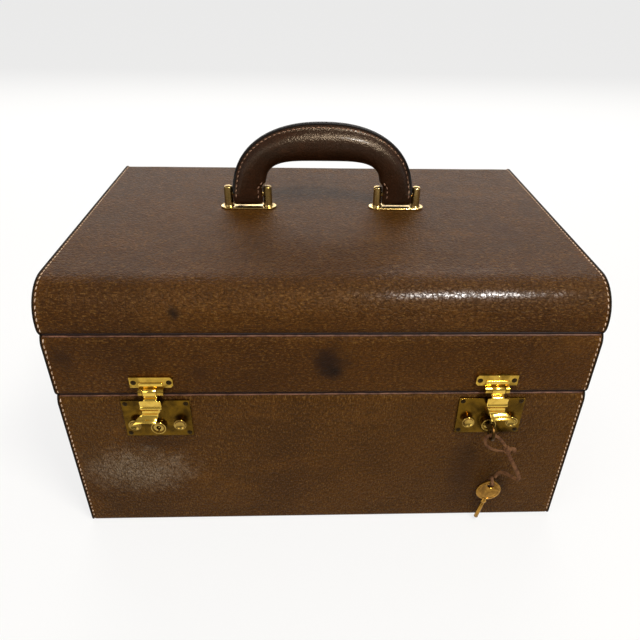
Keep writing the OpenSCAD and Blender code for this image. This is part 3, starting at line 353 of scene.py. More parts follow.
# ---------------------------------------------------------------- stitches
def stitch_row(line, normals, pitch=3.7, length=2.7, width=0.8, lean=10):
    """Thread stitches along a line: each is a lens of five six-sided rings, its ends sunk in the leather."""
    line = np.asarray(line, float)
    d = np.r_[0, np.cumsum(np.linalg.norm(np.diff(line, axis=0), axis=1))]
    count = int((d[-1] - 1.2) / pitch)
    if count < 1:
        return np.zeros((0, 3)), []
    s = (d[-1] - (count - 1) * pitch) / 2 + pitch * np.arange(count) + rng.normal(0, 0.08, count)
    at = lambda q, a: np.stack([np.interp(q, d, a[:, k]) for k in range(3)], 1)
    centre, normal = at(s, line), at(s, np.asarray(normals, float))
    along = at(s + 0.4, line) - at(s - 0.4, line)
    along /= np.linalg.norm(along, axis=1)[:, None]
    normal /= np.linalg.norm(normal, axis=1)[:, None]
    side = np.cross(normal, along)
    turn = np.radians(lean + rng.normal(0, 2.5, count))[:, None]
    along, side = along * np.cos(turn) + side * np.sin(turn), side * np.cos(turn) - along * np.sin(turn)
    u = np.array([-1, -0.72, 0.0, 0.72, 1])
    r = np.array([0.35, 0.85, 1.0, 0.85, 0.35])
    a = np.linspace(0, 2 * np.pi, 6, endpoint=False)
    half = length / 2 * (1 + rng.normal(0, 0.04, count))
    p = (centre[:, None, None] + along[:, None, None] * (half[:, None, None, None] * u[None, :, None, None])
         + side[:, None, None] * (width / 2 * r[:, None, None] * np.cos(a)[None, :, None])[None]
         + normal[:, None, None] * ((width * 0.42) * r[:, None, None] * np.sin(a)[None, :, None]
                                    + (0.12 - 0.42 * np.abs(u) ** 3)[:, None, None])[None])
    n = 5 * 6
    one = grid_faces(5, 6, wrap_cols=True).tolist() + [[5, 4, 3, 2, 1, 0], [24, 25, 26, 27, 28, 29]]
    verts = p.reshape(-1, 3)
    first = outward(verts[:n], one)
    faces = [[c + k * n for c in f] for k in range(count) for f in first]
    return verts, faces


def tier_stitches(name, tier, parts):
    """Both rows of a tier: over the leather beside each panel, and on the panel's own face."""
    found = []
    for part in parts:
        line = evenly(skin_line(tier, part, SKIN_IN), 2)
        keep = line[:, 1] > 1.5
        d = np.gradient(line, axis=0)
        d /= np.linalg.norm(d, axis=1)[:, None]
        normal = np.stack([-d[:, 1], d[:, 0]], 1) * (-1 if tier == "base" else 1)
        lines = [keep] if tier != "base" else [keep & (line[:, 0] < 0), keep & (line[:, 0] > 0)]
        for mask in lines:
            for side in (-1, 1):
                p = np.column_stack([np.full(mask.sum(), side * GROOVE), line[mask] - normal[mask] * 0.25])
                n = np.column_stack([np.zeros(mask.sum()), normal[mask]])
                found.append(stitch_row(p, n, lean=12 * side))
    loop = outline(tier, STITCH_IN + 0.1)
    loop = evenly(np.concatenate([loop, loop[:1]]), 2)
    for side in (-1, 1):
        p = np.column_stack([np.full(len(loop), side * (CASE_W / 2 - 0.42)), loop])
        found.append(stitch_row(p, np.tile([side, 0.0, 0.0], (len(loop), 1)), lean=12 * side))
    verts, faces = merged([f for f in found if len(f[0])])
    return link_mesh(name, verts, faces)


# ---------------------------------------------------------------- finishes
def srgb(r, g, b):
    """A colour of 0 to 255 as written on a screen, made linear."""
    c = np.array([r, g, b]) / 255
    return tuple(np.where(c <= 0.04045, c / 12.92, ((c + 0.055) / 1.055) ** 2.4)) + (1.0,)


class Nodes:
    """A node tree with short calls: each makes a node, sets values and joins what it is given."""

    def __init__(self, tree):
        self.tree = tree

    def add(self, kind, props=None, **links):
        node = self.tree.nodes.new(kind)
        for key, value in (props or {}).items():
            setattr(node, key, value)
        for key, value in links.items():
            socket = node.inputs[int(key[1:])] if key[0] == "i" and key[1:].isdigit() else node.inputs[key.replace("_", " ")]
            self.put(socket, value)
        return node

    def put(self, socket, value):
        if isinstance(value, bpy.types.NodeSocket):
            self.tree.links.new(value, socket)
        else:
            socket.default_value = value

    def math(self, how, a, b=0.0, clamp=False):
        return self.add("ShaderNodeMath", {"operation": how, "use_clamp": clamp}, i0=a, i1=b).outputs[0]

    def vector(self, how, a, b):
        node = self.add("ShaderNodeVectorMath", {"operation": how}, i0=a, i1=b)
        return node.outputs["Value"] if how in ("DISTANCE", "LENGTH", "DOT_PRODUCT") else node.outputs[0]

    def noise(self, vector, scale, detail=3.0, rough=0.55, distort=0.0):
        return self.add("ShaderNodeTexNoise", None, Vector=vector, Scale=scale, Detail=detail, Roughness=rough,
                        Distortion=distort).outputs["Fac"]

    def cells(self, vector, scale, feature="F1", jitter=1.0):
        return self.add("ShaderNodeTexVoronoi", {"feature": feature}, Vector=vector, Scale=scale,
                        Randomness=jitter).outputs["Distance"]

    def ramp(self, value, low, high):
        return self.add("ShaderNodeMapRange", {"interpolation_type": "SMOOTHSTEP"}, Value=value, i1=low, i2=high).outputs[0]

    def mix(self, amount, a, b):
        node = self.add("ShaderNodeMix", {"data_type": "RGBA"}, Factor=amount)
        self.put(node.inputs[6], a)
        self.put(node.inputs[7], b)
        return node.outputs[2]


def group(name, inputs, outputs):
    """An empty node group with named sockets, as (group, tree calls, input node, output node)."""
    g = bpy.data.node_groups.new(name, "ShaderNodeTree")
    kinds = {"f": "NodeSocketFloat", "v": "NodeSocketVector", "c": "NodeSocketColor"}
    for label, kind in inputs:
        g.interface.new_socket(name=label, in_out="INPUT", socket_type=kinds[kind])
    for label, kind in outputs:
        g.interface.new_socket(name=label, in_out="OUTPUT", socket_type=kinds[kind])
    n = Nodes(g)
    return g, n, g.nodes.new("NodeGroupInput"), g.nodes.new("NodeGroupOutput")


def grain_group():
    """Pigskin: small pebbles, creases between them, and pores that stand in loose threes."""
    g, n, i, o = group("pigskin_grain", [("Vector", "v"), ("Fineness", "f"), ("Pores", "f")],
                       [("Height", "f"), ("Specks", "f")])
    v, s = i.outputs["Vector"], i.outputs["Fineness"]
    warp = n.add("ShaderNodeTexNoise", None, Vector=v, Scale=n.math("MULTIPLY", s, 0.25), Detail=2.0).outputs["Color"]
    bent = n.vector("ADD", v, n.vector("MULTIPLY", warp, (0.0012, 0.0012, 0.0012)))
    pebble = n.cells(bent, s, "SMOOTH_F1")
    crease = n.cells(bent, n.math("MULTIPLY", s, 0.42), "DISTANCE_TO_EDGE")
    crease = n.ramp(crease, 0.0, 0.16)
    three = n.cells(bent, n.math("MULTIPLY", s, 0.30))
    pore_at = n.cells(bent, n.math("MULTIPLY", s, 1.05))
    pore = n.math("MULTIPLY", n.math("SUBTRACT", 1.0, n.ramp(pore_at, 0.10, 0.34)),
                  n.math("SUBTRACT", 1.0, n.ramp(three, 0.30, 0.46)))
    patch = n.ramp(n.noise(v, n.math("MULTIPLY", s, 0.045), 2.0), 0.25, 0.7)
    base = n.math("MULTIPLY", n.math("SUBTRACT", 1.0, pebble), n.math("ADD", n.math("MULTIPLY", patch, 0.45), 0.25))
    height = n.math("ADD", base, n.math("MULTIPLY", crease, 0.30))
    height = n.math("SUBTRACT", height, n.math("MULTIPLY", pore, i.outputs["Pores"]))
    n.put(o.inputs["Height"], height)
    n.put(o.inputs["Specks"], n.math("MULTIPLY", pore, n.math("ADD", 0.4, patch)))
    return g


def cloud_group():
    """Uneven dye: three colours mixed by slow cloudy noise and drawn-out streaks."""
    g, n, i, o = group("uneven_dye", [("Vector", "v"), ("Dark", "c"), ("Middle", "c"), ("Light", "c"), ("Size", "f")],
                       [("Color", "c"), ("Patch", "f")])
    v = i.outputs["Vector"]
    slow = n.noise(v, i.outputs["Size"], 4.0, 0.6, 0.4)
    fine = n.noise(v, n.math("MULTIPLY", i.outputs["Size"], 9.0), 4.0, 0.62)
    long = n.noise(n.vector("MULTIPLY", v, (1.0, 3.2, 3.2)), n.math("MULTIPLY", i.outputs["Size"], 1.3), 3.0)
    first = n.mix(n.ramp(slow, 0.32, 0.66), i.outputs["Dark"], i.outputs["Middle"])
    second = n.mix(n.math("MULTIPLY", n.ramp(long, 0.48, 0.74), n.ramp(fine, 0.3, 0.7)), first, i.outputs["Light"])
    n.put(o.inputs["Color"], second)
    n.put(o.inputs["Patch"], fine)
    return g


def tarnish_group():
    """Aged brass: rubbed bright where it is handled, dull brown in cloudy patches, with fine scratches."""
    g, n, i, o = group("brass_age", [("Vector", "v"), ("Bright", "c"), ("Dull", "c"), ("Age", "f")],
                       [("Color", "c"), ("Mask", "f"), ("Height", "f")])
    v = i.outputs["Vector"]
    cloud = n.noise(v, 95.0, 5.0, 0.62, 0.5)
    dots = n.noise(v, 900.0, 3.0, 0.6)
    mask = n.math("ADD", n.math("SUBTRACT", i.outputs["Age"], 0.5), n.ramp(cloud, 0.3, 0.72), True)
    mask = n.math("MULTIPLY", mask, n.math("ADD", 0.75, n.math("MULTIPLY", dots, 0.5)), True)
    scratch = n.noise(n.vector("MULTIPLY", v, (3800.0, 3800.0, 260.0)), 1.0, 2.0)
    n.put(o.inputs["Color"], n.mix(mask, i.outputs["Bright"], i.outputs["Dull"]))
    n.put(o.inputs["Mask"], mask)
    n.put(o.inputs["Height"], n.math("ADD", n.math("MULTIPLY", scratch, 0.35), n.math("MULTIPLY", dots, 0.5)))
    return g


def round_spot_group():
    """Up to one round spot: 1 at a point, fading to 0 at a radius, its rim broken up by noise. It places smudges,
    painted shadows, a painted sheen and polish.
    """
    g, n, i, o = group("round_spot", [("Vector", "v"), ("Place", "v"), ("Stretch", "v"), ("Radius", "f")], [("Mask", "f")])
    d = n.vector("LENGTH", n.vector("MULTIPLY", n.vector("SUBTRACT", i.outputs["Vector"], i.outputs["Place"]),
                                    i.outputs["Stretch"]), (0, 0, 0))
    rough = n.noise(i.outputs["Vector"], 160.0, 3.0)
    d = n.math("ADD", d, n.math("MULTIPLY", n.math("SUBTRACT", rough, 0.5), n.math("MULTIPLY", i.outputs["Radius"], 0.9)))
    away = n.math("DIVIDE", d, i.outputs["Radius"])
    n.put(o.inputs["Mask"], n.math("SUBTRACT", 1.0, n.ramp(away, 0.15, 1.0)))
    return g


GRAIN, CLOUD, TARNISH, ROUND_SPOT = grain_group(), cloud_group(), tarnish_group(), round_spot_group()


def use(n, g, **links):
    node = n.add("ShaderNodeGroup", {"node_tree": g})
    for key, value in links.items():
        n.put(node.inputs[key], value)
    return node.outputs


def new_material(name):
    """A material with only a Principled shader, as (material, tree calls, shader, Object coordinates)."""
    m = bpy.data.materials.new(name)
    m.use_nodes = True
    m.node_tree.nodes.clear()
    n = Nodes(m.node_tree)
    shader = n.add("ShaderNodeBsdfPrincipled")
    out = n.add("ShaderNodeOutputMaterial")
    n.put(out.inputs["Surface"], shader.outputs[0])
    return m, n, shader, n.add("ShaderNodeTexCoord").outputs["Object"]


def attribute(n, name):
    return n.add("ShaderNodeAttribute", {"attribute_name": name}).outputs["Fac"]


def pigskin(name, dark, middle, light, fineness=700.0, bump=0.8, rough=(0.42, 0.6), size=9.0, stains_and_painted_light=(), wear=True,
            gloss=0.09, mottle=0.72, painted=False, streak=(0.55, 1.0, 1.3), polished=()):
    """Brown grained leather: uneven dye, pebbles lighter than their creases, pores, rubbed edges, round spots at given
    places (real smudges, painted shadows and a painted sheen), dark paint where the piece has its paint attribute, and
    a polish on the pebbles' tops at given places."""
    m, n, shader, v = new_material(name)
    shader.inputs["Specular Tint"].default_value = (1.0, 0.78, 0.54, 1.0)
    grain = use(n, GRAIN, Vector=v, Fineness=fineness, Pores=0.5)
    dye = use(n, CLOUD, Vector=v, Dark=srgb(*dark), Middle=srgb(*middle), Light=srgb(*light), Size=size)
    fleck = n.noise(n.vector("MULTIPLY", v, streak), fineness * 1.2, 4.0, 0.8)
    colour = n.mix(n.math("MULTIPLY", n.ramp(fleck, 0.52, 0.66), mottle), dye["Color"],
                   srgb(*[min(255, c * f) for c, f in zip(light, (1.36, 1.62, 2.9))]))
    colour = n.mix(n.math("MULTIPLY", n.math("SUBTRACT", 1.0, n.ramp(fleck, 0.36, 0.5)), mottle), colour,
                   srgb(*[c * 0.5 for c in dark]))
    colour = n.mix(n.math("MULTIPLY", grain["Specks"], 0.5), colour, srgb(*[c * 0.5 for c in dark]))
    hollow = n.math("SUBTRACT", 1.0, n.ramp(grain["Height"], 0.05, 0.75))
    colour = n.mix(n.math("MULTIPLY", hollow, 0.45), colour, srgb(*[c * 0.6 for c in dark]))
    if wear:
        rubbed = n.math("MULTIPLY", attribute(n, "wear"), n.ramp(n.noise(v, 240.0, 4.0), 0.3, 0.65))
        colour = n.mix(n.math("MULTIPLY", rubbed, 0.4), colour, srgb(*[min(255, c * 1.35) for c in light]))
    # Round spots: dark tints are real smudges and painted shadows, a light tint is a painted sheen.
    for place, stretch, radius, amount, tint in stains_and_painted_light:
        spot = use(n, ROUND_SPOT, Vector=v, Place=[p * MM for p in place], Stretch=stretch, Radius=radius * MM)["Mask"]
        # A painted sheen (light tint) is broken by fleck and grain; a dark spot by fleck alone.
        broken = n.math("MULTIPLY", spot, n.math("ADD", n.math("MULTIPLY", n.ramp(fleck, 0.35, 0.6), 0.7), n.math("MULTIPLY", n.ramp(grain["Height"], 0.3, 0.7), 0.4))) if tint[0] > 100 else n.math(
            "MULTIPLY", spot, n.math("ADD", 0.4, n.math("MULTIPLY", n.ramp(fleck, 0.3, 0.56), 0.6)))
        colour = n.mix(n.math("MULTIPLY", broken, amount), colour, srgb(*tint))
    if painted:
        colour = n.mix(n.ramp(attribute(n, "paint"), 0.3, 0.7), colour, srgb(16, 11, 8))
    n.put(shader.inputs["Base Color"], colour)
    n.put(shader.inputs["Roughness"], n.math("ADD", rough[0], n.math("MULTIPLY", dye["Patch"], rough[1] - rough[0])))
    relief = n.math("ADD", grain["Height"], n.math("MULTIPLY", fleck, 0.5))
    fold = n.add("ShaderNodeBump", None, Height=relief, Strength=bump, Distance=0.0009)
    n.put(shader.inputs["Normal"], fold.outputs[0])
    shader.inputs["Specular IOR Level"].default_value = gloss
    if polished:
        coat = 0.0
        for place, stretch, radius, amount in polished:
            spot = use(n, ROUND_SPOT, Vector=v, Place=[p * MM for p in place], Stretch=stretch, Radius=radius * MM)["Mask"]
            coat = n.math("ADD", coat, n.math("MULTIPLY", spot, amount))
        tops = n.math("MULTIPLY", n.ramp(grain["Height"], 0.34, 0.64), n.ramp(fleck, 0.42, 0.6))
        n.put(shader.inputs["Coat Weight"], n.math("MULTIPLY", coat, n.math("ADD", 0.06, tops), True))
        shader.inputs["Coat Roughness"].default_value = 0.22
    return m


def plain(name, colour, rough, metallic=0.0, patch=0.25, scale=120.0, bump=0.1, distance=0.0002, tint=None, gloss=0.5):
    """One colour broken up by noise, with a matching bump."""
    m, n, shader, v = new_material(name)
    cloud = n.noise(v, scale, 4.0, 0.6)
    other = tint or [c * (1 - patch) for c in colour]
    n.put(shader.inputs["Base Color"], n.mix(n.ramp(cloud, 0.3, 0.7), srgb(*colour), srgb(*other)))
    n.put(shader.inputs["Roughness"], n.math("ADD", rough, n.math("MULTIPLY", cloud, 0.12)))
    shader.inputs["Metallic"].default_value = metallic
    shader.inputs["Specular IOR Level"].default_value = gloss
    n.put(shader.inputs["Normal"], n.add("ShaderNodeBump", None, Height=n.noise(v, scale * 9, 3.0), Strength=bump,
                                         Distance=distance).outputs[0])
    return m


def brass(name, bright, dull, age, rough=(0.2, 0.5), bump=0.12):
    m, n, shader, v = new_material(name)
    aged = use(n, TARNISH, Vector=v, Bright=srgb(*bright), Dull=srgb(*dull), Age=age)
    n.put(shader.inputs["Base Color"], aged["Color"])
    n.put(shader.inputs["Roughness"], n.math("ADD", rough[0], n.math("MULTIPLY", aged["Mask"], rough[1] - rough[0])))
    shader.inputs["Metallic"].default_value = 1.0
    n.put(shader.inputs["Normal"], n.add("ShaderNodeBump", None, Height=aged["Height"], Strength=bump,
                                         Distance=0.0001).outputs[0])
    return m


def suede(name, colour, tint):
    """Napped leather: fine cloudy nap that catches the light at a slant."""
    m, n, shader, v = new_material(name)
    nap = n.noise(v, 70.0, 6.0, 0.7, 0.6)
    hair = n.noise(n.vector("MULTIPLY", v, (1.0, 1.0, 0.35)), 2600.0, 2.0)
    n.put(shader.inputs["Base Color"], n.mix(n.ramp(nap, 0.3, 0.7), srgb(*colour), srgb(*tint)))
    shader.inputs["Roughness"].default_value = 0.9
    shader.inputs["Sheen Weight"].default_value = 0.5
    shader.inputs["Sheen Roughness"].default_value = 0.4
    n.put(shader.inputs["Normal"], n.add("ShaderNodeBump", None, Height=hair, Strength=0.3, Distance=0.0003).outputs[0])
    return m


def board(name, colour, tint):
    """Plain wood: long grain along x."""
    m, n, shader, v = new_material(name)
    lines = n.noise(n.vector("MULTIPLY", v, (6.0, 140.0, 140.0)), 1.0, 4.0, 0.6, 0.5)
    fibre = n.noise(n.vector("MULTIPLY", v, (30.0, 1800.0, 1800.0)), 1.0, 2.0)
    n.put(shader.inputs["Base Color"], n.mix(n.ramp(lines, 0.3, 0.7), srgb(*colour), srgb(*tint)))
    shader.inputs["Roughness"].default_value = 0.6
    n.put(shader.inputs["Normal"], n.add("ShaderNodeBump", None, Height=fibre, Strength=0.25, Distance=0.0002).outputs[0])
    return m


CASE_LEATHER = pigskin("case_leather", (64, 34, 4), (77, 44, 8), (91, 55, 14), stains_and_painted_light=[
    ((-87, -116, 172), (1, 1, 1), 6.5, 1.0, (8, 4, 3)),
    ((2.5, -116, 137.5), (0.95, 1, 1), 15, 1.0, (30, 15, 8)),
    ((3.5, -116, 130), (0.9, 1, 1.2), 9, 0.8, (14, 7, 6)),
    ((-155, -116, 141), (1, 1, 1), 11, 0.7, (38, 20, 7)),
    ((-76, -116, 130), (1, 1, 1), 8, 0.5, (40, 21, 8)),
    ((123, -31, 187), (1, 1, 1), 18, 0.4, (56, 32, 18))], polished=[
    ((75, -108, 180), (0.28, 1, 1), 30, 0.3), ((-110, -108, 180), (0.5, 1, 1), 26, 0.25)])
BASE_LEATHER = pigskin("base_case_leather", (66, 37, 5), (79, 47, 9), (94, 58, 16), streak=(1.35, 1.0, 0.5), stains_and_painted_light=[
    # painted shadow below the right lock
    ((95, -116, 45), (1.5, 1, 0.55), 26, 0.6, (42, 23, 8)),
    # painted shadow below the left lock plate
    ((-107, -116, 74), (0.8, 1, 2.4), 24, 0.6, (42, 23, 8)),
    # painted sheen: a light patch that stands for a reflection at the lower left; the polish below is a real coat
    ((-126, -116, 50), (0.9, 1, 1.7), 44, 0.42, (134, 116, 88))],
                       polished=[((-126, -116, 50), (0.9, 1, 1.7), 46, 1.1)])
PANEL_LEATHER = pigskin("panel_leather", (66, 36, 6), (81, 47, 10), (96, 58, 17), wear=False)
HANDLE_LEATHER = pigskin("handle_leather", (32, 14, 4), (46, 22, 8), (60, 32, 14), fineness=1150.0, bump=0.34,
                         rough=(0.28, 0.42), size=30.0, wear=False, gloss=0.3, mottle=0.25, polished=[
                             ((22, 3, 235), (0.5, 1, 1), 18, 0.3), ((52, 3, 222), (1, 1, 0.6), 12, 0.2),
                             ((-34, 3, 234), (0.7, 1, 1), 12, 0.2)])
EDGE_PAINT = pigskin("edge_paint", (64, 35, 6), (79, 46, 10), (94, 57, 17), wear=False, painted=True, gloss=0.1)
GRIP_PAINT = plain("grip_paint", (20, 13, 9), 0.5, patch=0.4, scale=300.0, bump=0.3, distance=0.0002, gloss=0.14)
# The lips' near-black colour is painted shade in the seams' gaps.
LIP_PAINTED_SHADE = plain("lip_painted_shade", (34, 17, 12), 0.6, patch=0.3, scale=220.0, bump=0.3, gloss=0.12)
RIM_LEATHER = plain("rim_leather", (128, 86, 62), 0.5, patch=0.3, scale=190.0, bump=0.5, gloss=0.2, tint=(76, 45, 28))
THREAD = plain("thread", (222, 194, 166), 0.8, patch=0.3, scale=500.0, bump=0.5, distance=0.0001, gloss=0.2,
               tint=(176, 142, 112))
DARK_THREAD = plain("handle_thread", (168, 128, 100), 0.8, patch=0.3, scale=500.0, bump=0.5, distance=0.0001, gloss=0.2,
                    tint=(112, 78, 60))
LACE = plain("lace_leather", (122, 84, 52), 0.7, patch=0.35, scale=300.0, bump=0.6, distance=0.0003, gloss=0.1,
             tint=(76, 46, 27))
HASP_PLATE_BRASS = brass("hasp_plate_brass", (198, 160, 66), (112, 84, 26), 0.4, rough=(0.14, 0.32), bump=0.04)
BRIGHT_BRASS = brass("bright_brass", (222, 184, 82), (168, 126, 40), 0.2, rough=(0.14, 0.34), bump=0.03)
PLATE_BRASS = brass("plate_brass", (112, 82, 20), (60, 42, 10), 0.5, rough=(0.16, 0.34), bump=0.05)
KNOB_BRASS = brass("knob_brass", (188, 156, 78), (110, 82, 32), 0.4, rough=(0.12, 0.3), bump=0.04)
KEY_BRASS = brass("key_brass", (180, 134, 58), (98, 66, 22), 0.45, rough=(0.16, 0.38), bump=0.06)
# The key in the lock: brass made far darker than the hanging key's, as painted shade on its bow.
SHADED_KEY_BRASS = brass("dark_brass", (84, 60, 26), (40, 26, 12), 0.5, rough=(0.25, 0.45), bump=0.08)
POST_BRASS = brass("post_brass", (188, 158, 98), (112, 90, 46), 0.4, rough=(0.16, 0.4), bump=0.05)
HINGE_BRASS = brass("hinge_brass", (170, 138, 74), (98, 74, 36), 0.6, rough=(0.3, 0.55))
STEEL = plain("spring_steel", (120, 118, 114), 0.35, metallic=1.0)
SUEDE = suede("suede_lining", (150, 112, 74), (120, 86, 54))
WOOD = board("case_wood", (166, 128, 86), (138, 100, 62))
FRAME_LEATHER = pigskin("mirror_frame_leather", (70, 42, 22), (96, 60, 34), (120, 80, 48), wear=False)
MIRROR = plain("mirror_glass", (226, 232, 232), 0.02, metallic=1.0, patch=0.03, scale=20.0, bump=0.0)
SCREW_DARK = plain("screw_dark", (52, 38, 18), 0.4, metallic=1.0, patch=0.4, scale=900.0, bump=0.2, distance=0.0001)


def dress(obj, material):
    obj.data.materials.clear()
    obj.data.materials.append(material)
    return obj


def finish_node(name, material):
    """A CAD node keeps its shape and gets a finish in each of its material slots."""
    mesh = NODES[name].data
    if not mesh.materials:
        mesh.materials.append(material)
    for k in range(len(mesh.materials)):
        mesh.materials[k] = material


def place(obj, body, material, slot, *nodes):
    """A new piece: its finish, the body that it rides on, a slot that is not used, and the CAD nodes that it stands
    for.
    """
    dress(obj, material)
    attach(obj, body)
    if nodes:
        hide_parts(*nodes)
    return obj


# ---------------------------------------------------------------- the lace and the hanging key, first of all pieces
def ribbon(points, width, thick, face):
    """A flat strap along a line: a rounded rectangle set square to the line, its broad side facing a given way."""
    p = np.asarray(points, float)
    d = np.gradient(p, axis=0)
    d /= np.linalg.norm(d, axis=1)[:, None]
    face = np.broadcast_to(np.asarray(face, float), p.shape)
    up = face - (face * d).sum(1)[:, None] * d
    up /= np.linalg.norm(up, axis=1)[:, None]
    side = np.cross(d, up)
    a = np.linspace(0, 2 * np.pi, 12, endpoint=False)
    c, s = np.cos(a), np.sin(a)
    w = np.sign(c) * np.abs(c) ** 0.5 * width / 2
    t = np.sign(s) * np.abs(s) ** 0.5 * thick / 2
    return tube(p[:, None] + w[None, :, None] * side[:, None] + t[None, :, None] * up[:, None])


def carried_sides(p, start):
    """Directions across a line, carried along it without twist."""
    d = np.gradient(p, axis=0)
    d /= np.linalg.norm(d, axis=1)[:, None]
    out, w = [], np.asarray(start, float)
    for k in range(len(p)):
        w = w - (w @ d[k]) * d[k]
        w = w / np.linalg.norm(w)
        out.append(w)
    return np.array(out)


lace_line = rounded_line(cubic_route(LACE_ROUTE), 0.7)
lace_face = carried_sides(lace_line, (0.2, -1, 0.3))
thong_lace = link_mesh("thong_lace_strap", *ribbon(lace_line, 2.6, 1.2, lace_face))
loop_line = rounded_line(cubic_route(LOOP_ROUTE), 0.6)
thong_loop = link_mesh("thong_loop_strap", *ribbon(loop_line, 2.0, 1.0, carried_sides(loop_line, (0.1, -1, 0.4))))


def knot_parts():
    """An overhand knot: a strap wound once and a half round the lace, and its cut tail."""
    a = np.linspace(0, 3.3 * np.pi, 60)
    axis = np.array([0.62, -0.05, -0.78])
    u = np.cross(axis, [0, 1, 0])
    u /= np.linalg.norm(u)
    v = np.cross(axis, u)
    r = 2.0 + 0.25 * np.sin(1.3 * a)
    ring = KNOT + axis * (a / a[-1] * 3.4 - 1.7)[:, None] + u * (r * np.cos(a))[:, None] + v * (r * np.sin(a))[:, None]
    face = ring - KNOT - axis * ((ring - KNOT) @ axis)[:, None]
    coil = ribbon(ring, 2.1, 1.1, face)
    core = ribbon(KNOT + axis * np.linspace(-2.6, 2.6, 8)[:, None] * 1.0, 2.4, 2.2, (0, -1, 0))
    tail_line = rounded_line(cubic_route(np.array([
        KNOT + [0.4, -1.6, 1.0], KNOT + [2.4, -2.0, 2.4], KNOT + [4.4, -1.4, 1.4], KNOT + [5.2, -0.9, -1.4]])), 0.6)
    tail = ribbon(tail_line, 2.4, 1.1, (0, -1, 0.2))
    return merged([coil, core, tail])


thong_knot = link_mesh("thong_knot_wraps", *knot_parts())
lean = math.radians(KEY_LEAN)
key_axis = np.array([math.sin(lean), 0, math.cos(lean)])
key_side = np.array([math.cos(lean), 0, -math.sin(lean)])


def hitch_parts():
    """The lace's end folded through the key's hole and back on itself."""
    a = np.linspace(0, 2 * np.pi, 40, endpoint=False)
    centre = KEY_HOLE + [0, 0, 3.4]
    line = centre + np.stack([0.5 * np.sin(2 * a), 2.6 * np.cos(a), 3.0 * np.sin(a)], 1)
    d = np.roll(line, -1, 0) - np.roll(line, 1, 0)
    d /= np.linalg.norm(d, axis=1)[:, None]
    up = line - centre
    up -= (up * d).sum(1)[:, None] * d
    up /= np.linalg.norm(up, axis=1)[:, None]
    side = np.cross(d, up)
    b = np.linspace(0, 2 * np.pi, 10, endpoint=False)
    return tube(line[:, None] + np.cos(b)[None, :, None] * side[:, None] * 1.1 + np.sin(b)[None, :, None] * up[:, None] * 0.6,
                closed=True)


key_hitch = link_mesh("key_hitch_fold", *hitch_parts())


def slab(outline_points, thick, bevel, hole=None):
    """A flat plate on z = 0 to thick with bevelled rims: rings of its outline, drawn in at both faces; a hole ring
    of the same count of points closes the middle."""
    o = np.asarray(outline_points, float)
    d = np.roll(o, -1, 0) - np.roll(o, 1, 0)
    n = np.stack([d[:, 1], -d[:, 0]], 1)
    n /= np.linalg.norm(n, axis=1)[:, None]
    area = 0.5 * (o[:, 0] * np.roll(o[:, 1], -1) - np.roll(o[:, 0], -1) * o[:, 1]).sum()
    n = -n if area > 0 else n
    steps = [(1.0, 0.0), (0.62, 0.08), (0.28, 0.3), (0.0, 1.0)]
    rings = [np.column_stack([o + n * bevel * f, np.full(len(o), bevel * g)]) for f, g in steps]
    rings += [np.column_stack([o + n * bevel * f, np.full(len(o), thick - bevel * g)]) for f, g in steps[::-1]]
    if hole is None:
        middle = o.mean(0)
        rings = [np.column_stack([middle + (o + n * bevel - middle) * f, np.zeros(len(o))]) for f in (0.5,)] + rings
        rings += [np.column_stack([middle + (o + n * bevel - middle) * f, np.full(len(o), thick)]) for f in (0.5,)]
        return tube(np.stack(rings))
    h = np.asarray(hole, float)
    dh = np.roll(h, -1, 0) - np.roll(h, 1, 0)
    m = np.stack([dh[:, 1], -dh[:, 0]], 1)
    m /= np.linalg.norm(m, axis=1)[:, None]
    m = m if area > 0 else -m
    rings += [np.column_stack([h + m * bevel * f, np.full(len(h), thick - bevel * g)]) for f, g in steps]
    rings += [np.column_stack([h + m * bevel * f, np.full(len(h), bevel * g)]) for f, g in steps[::-1]]
    return tube(np.stack(rings), closed=True)


def set_in(part, origin, ex, ey, ez):
    """A part's points carried from its own axes to the frame."""
    v, f = part
    v = np.asarray(origin, float) + v[:, :1] * np.asarray(ex, float) + v[:, 1:2] * np.asarray(ey, float) + v[:, 2:] * np.asarray(ez, float)
    return v, outward(v, f)


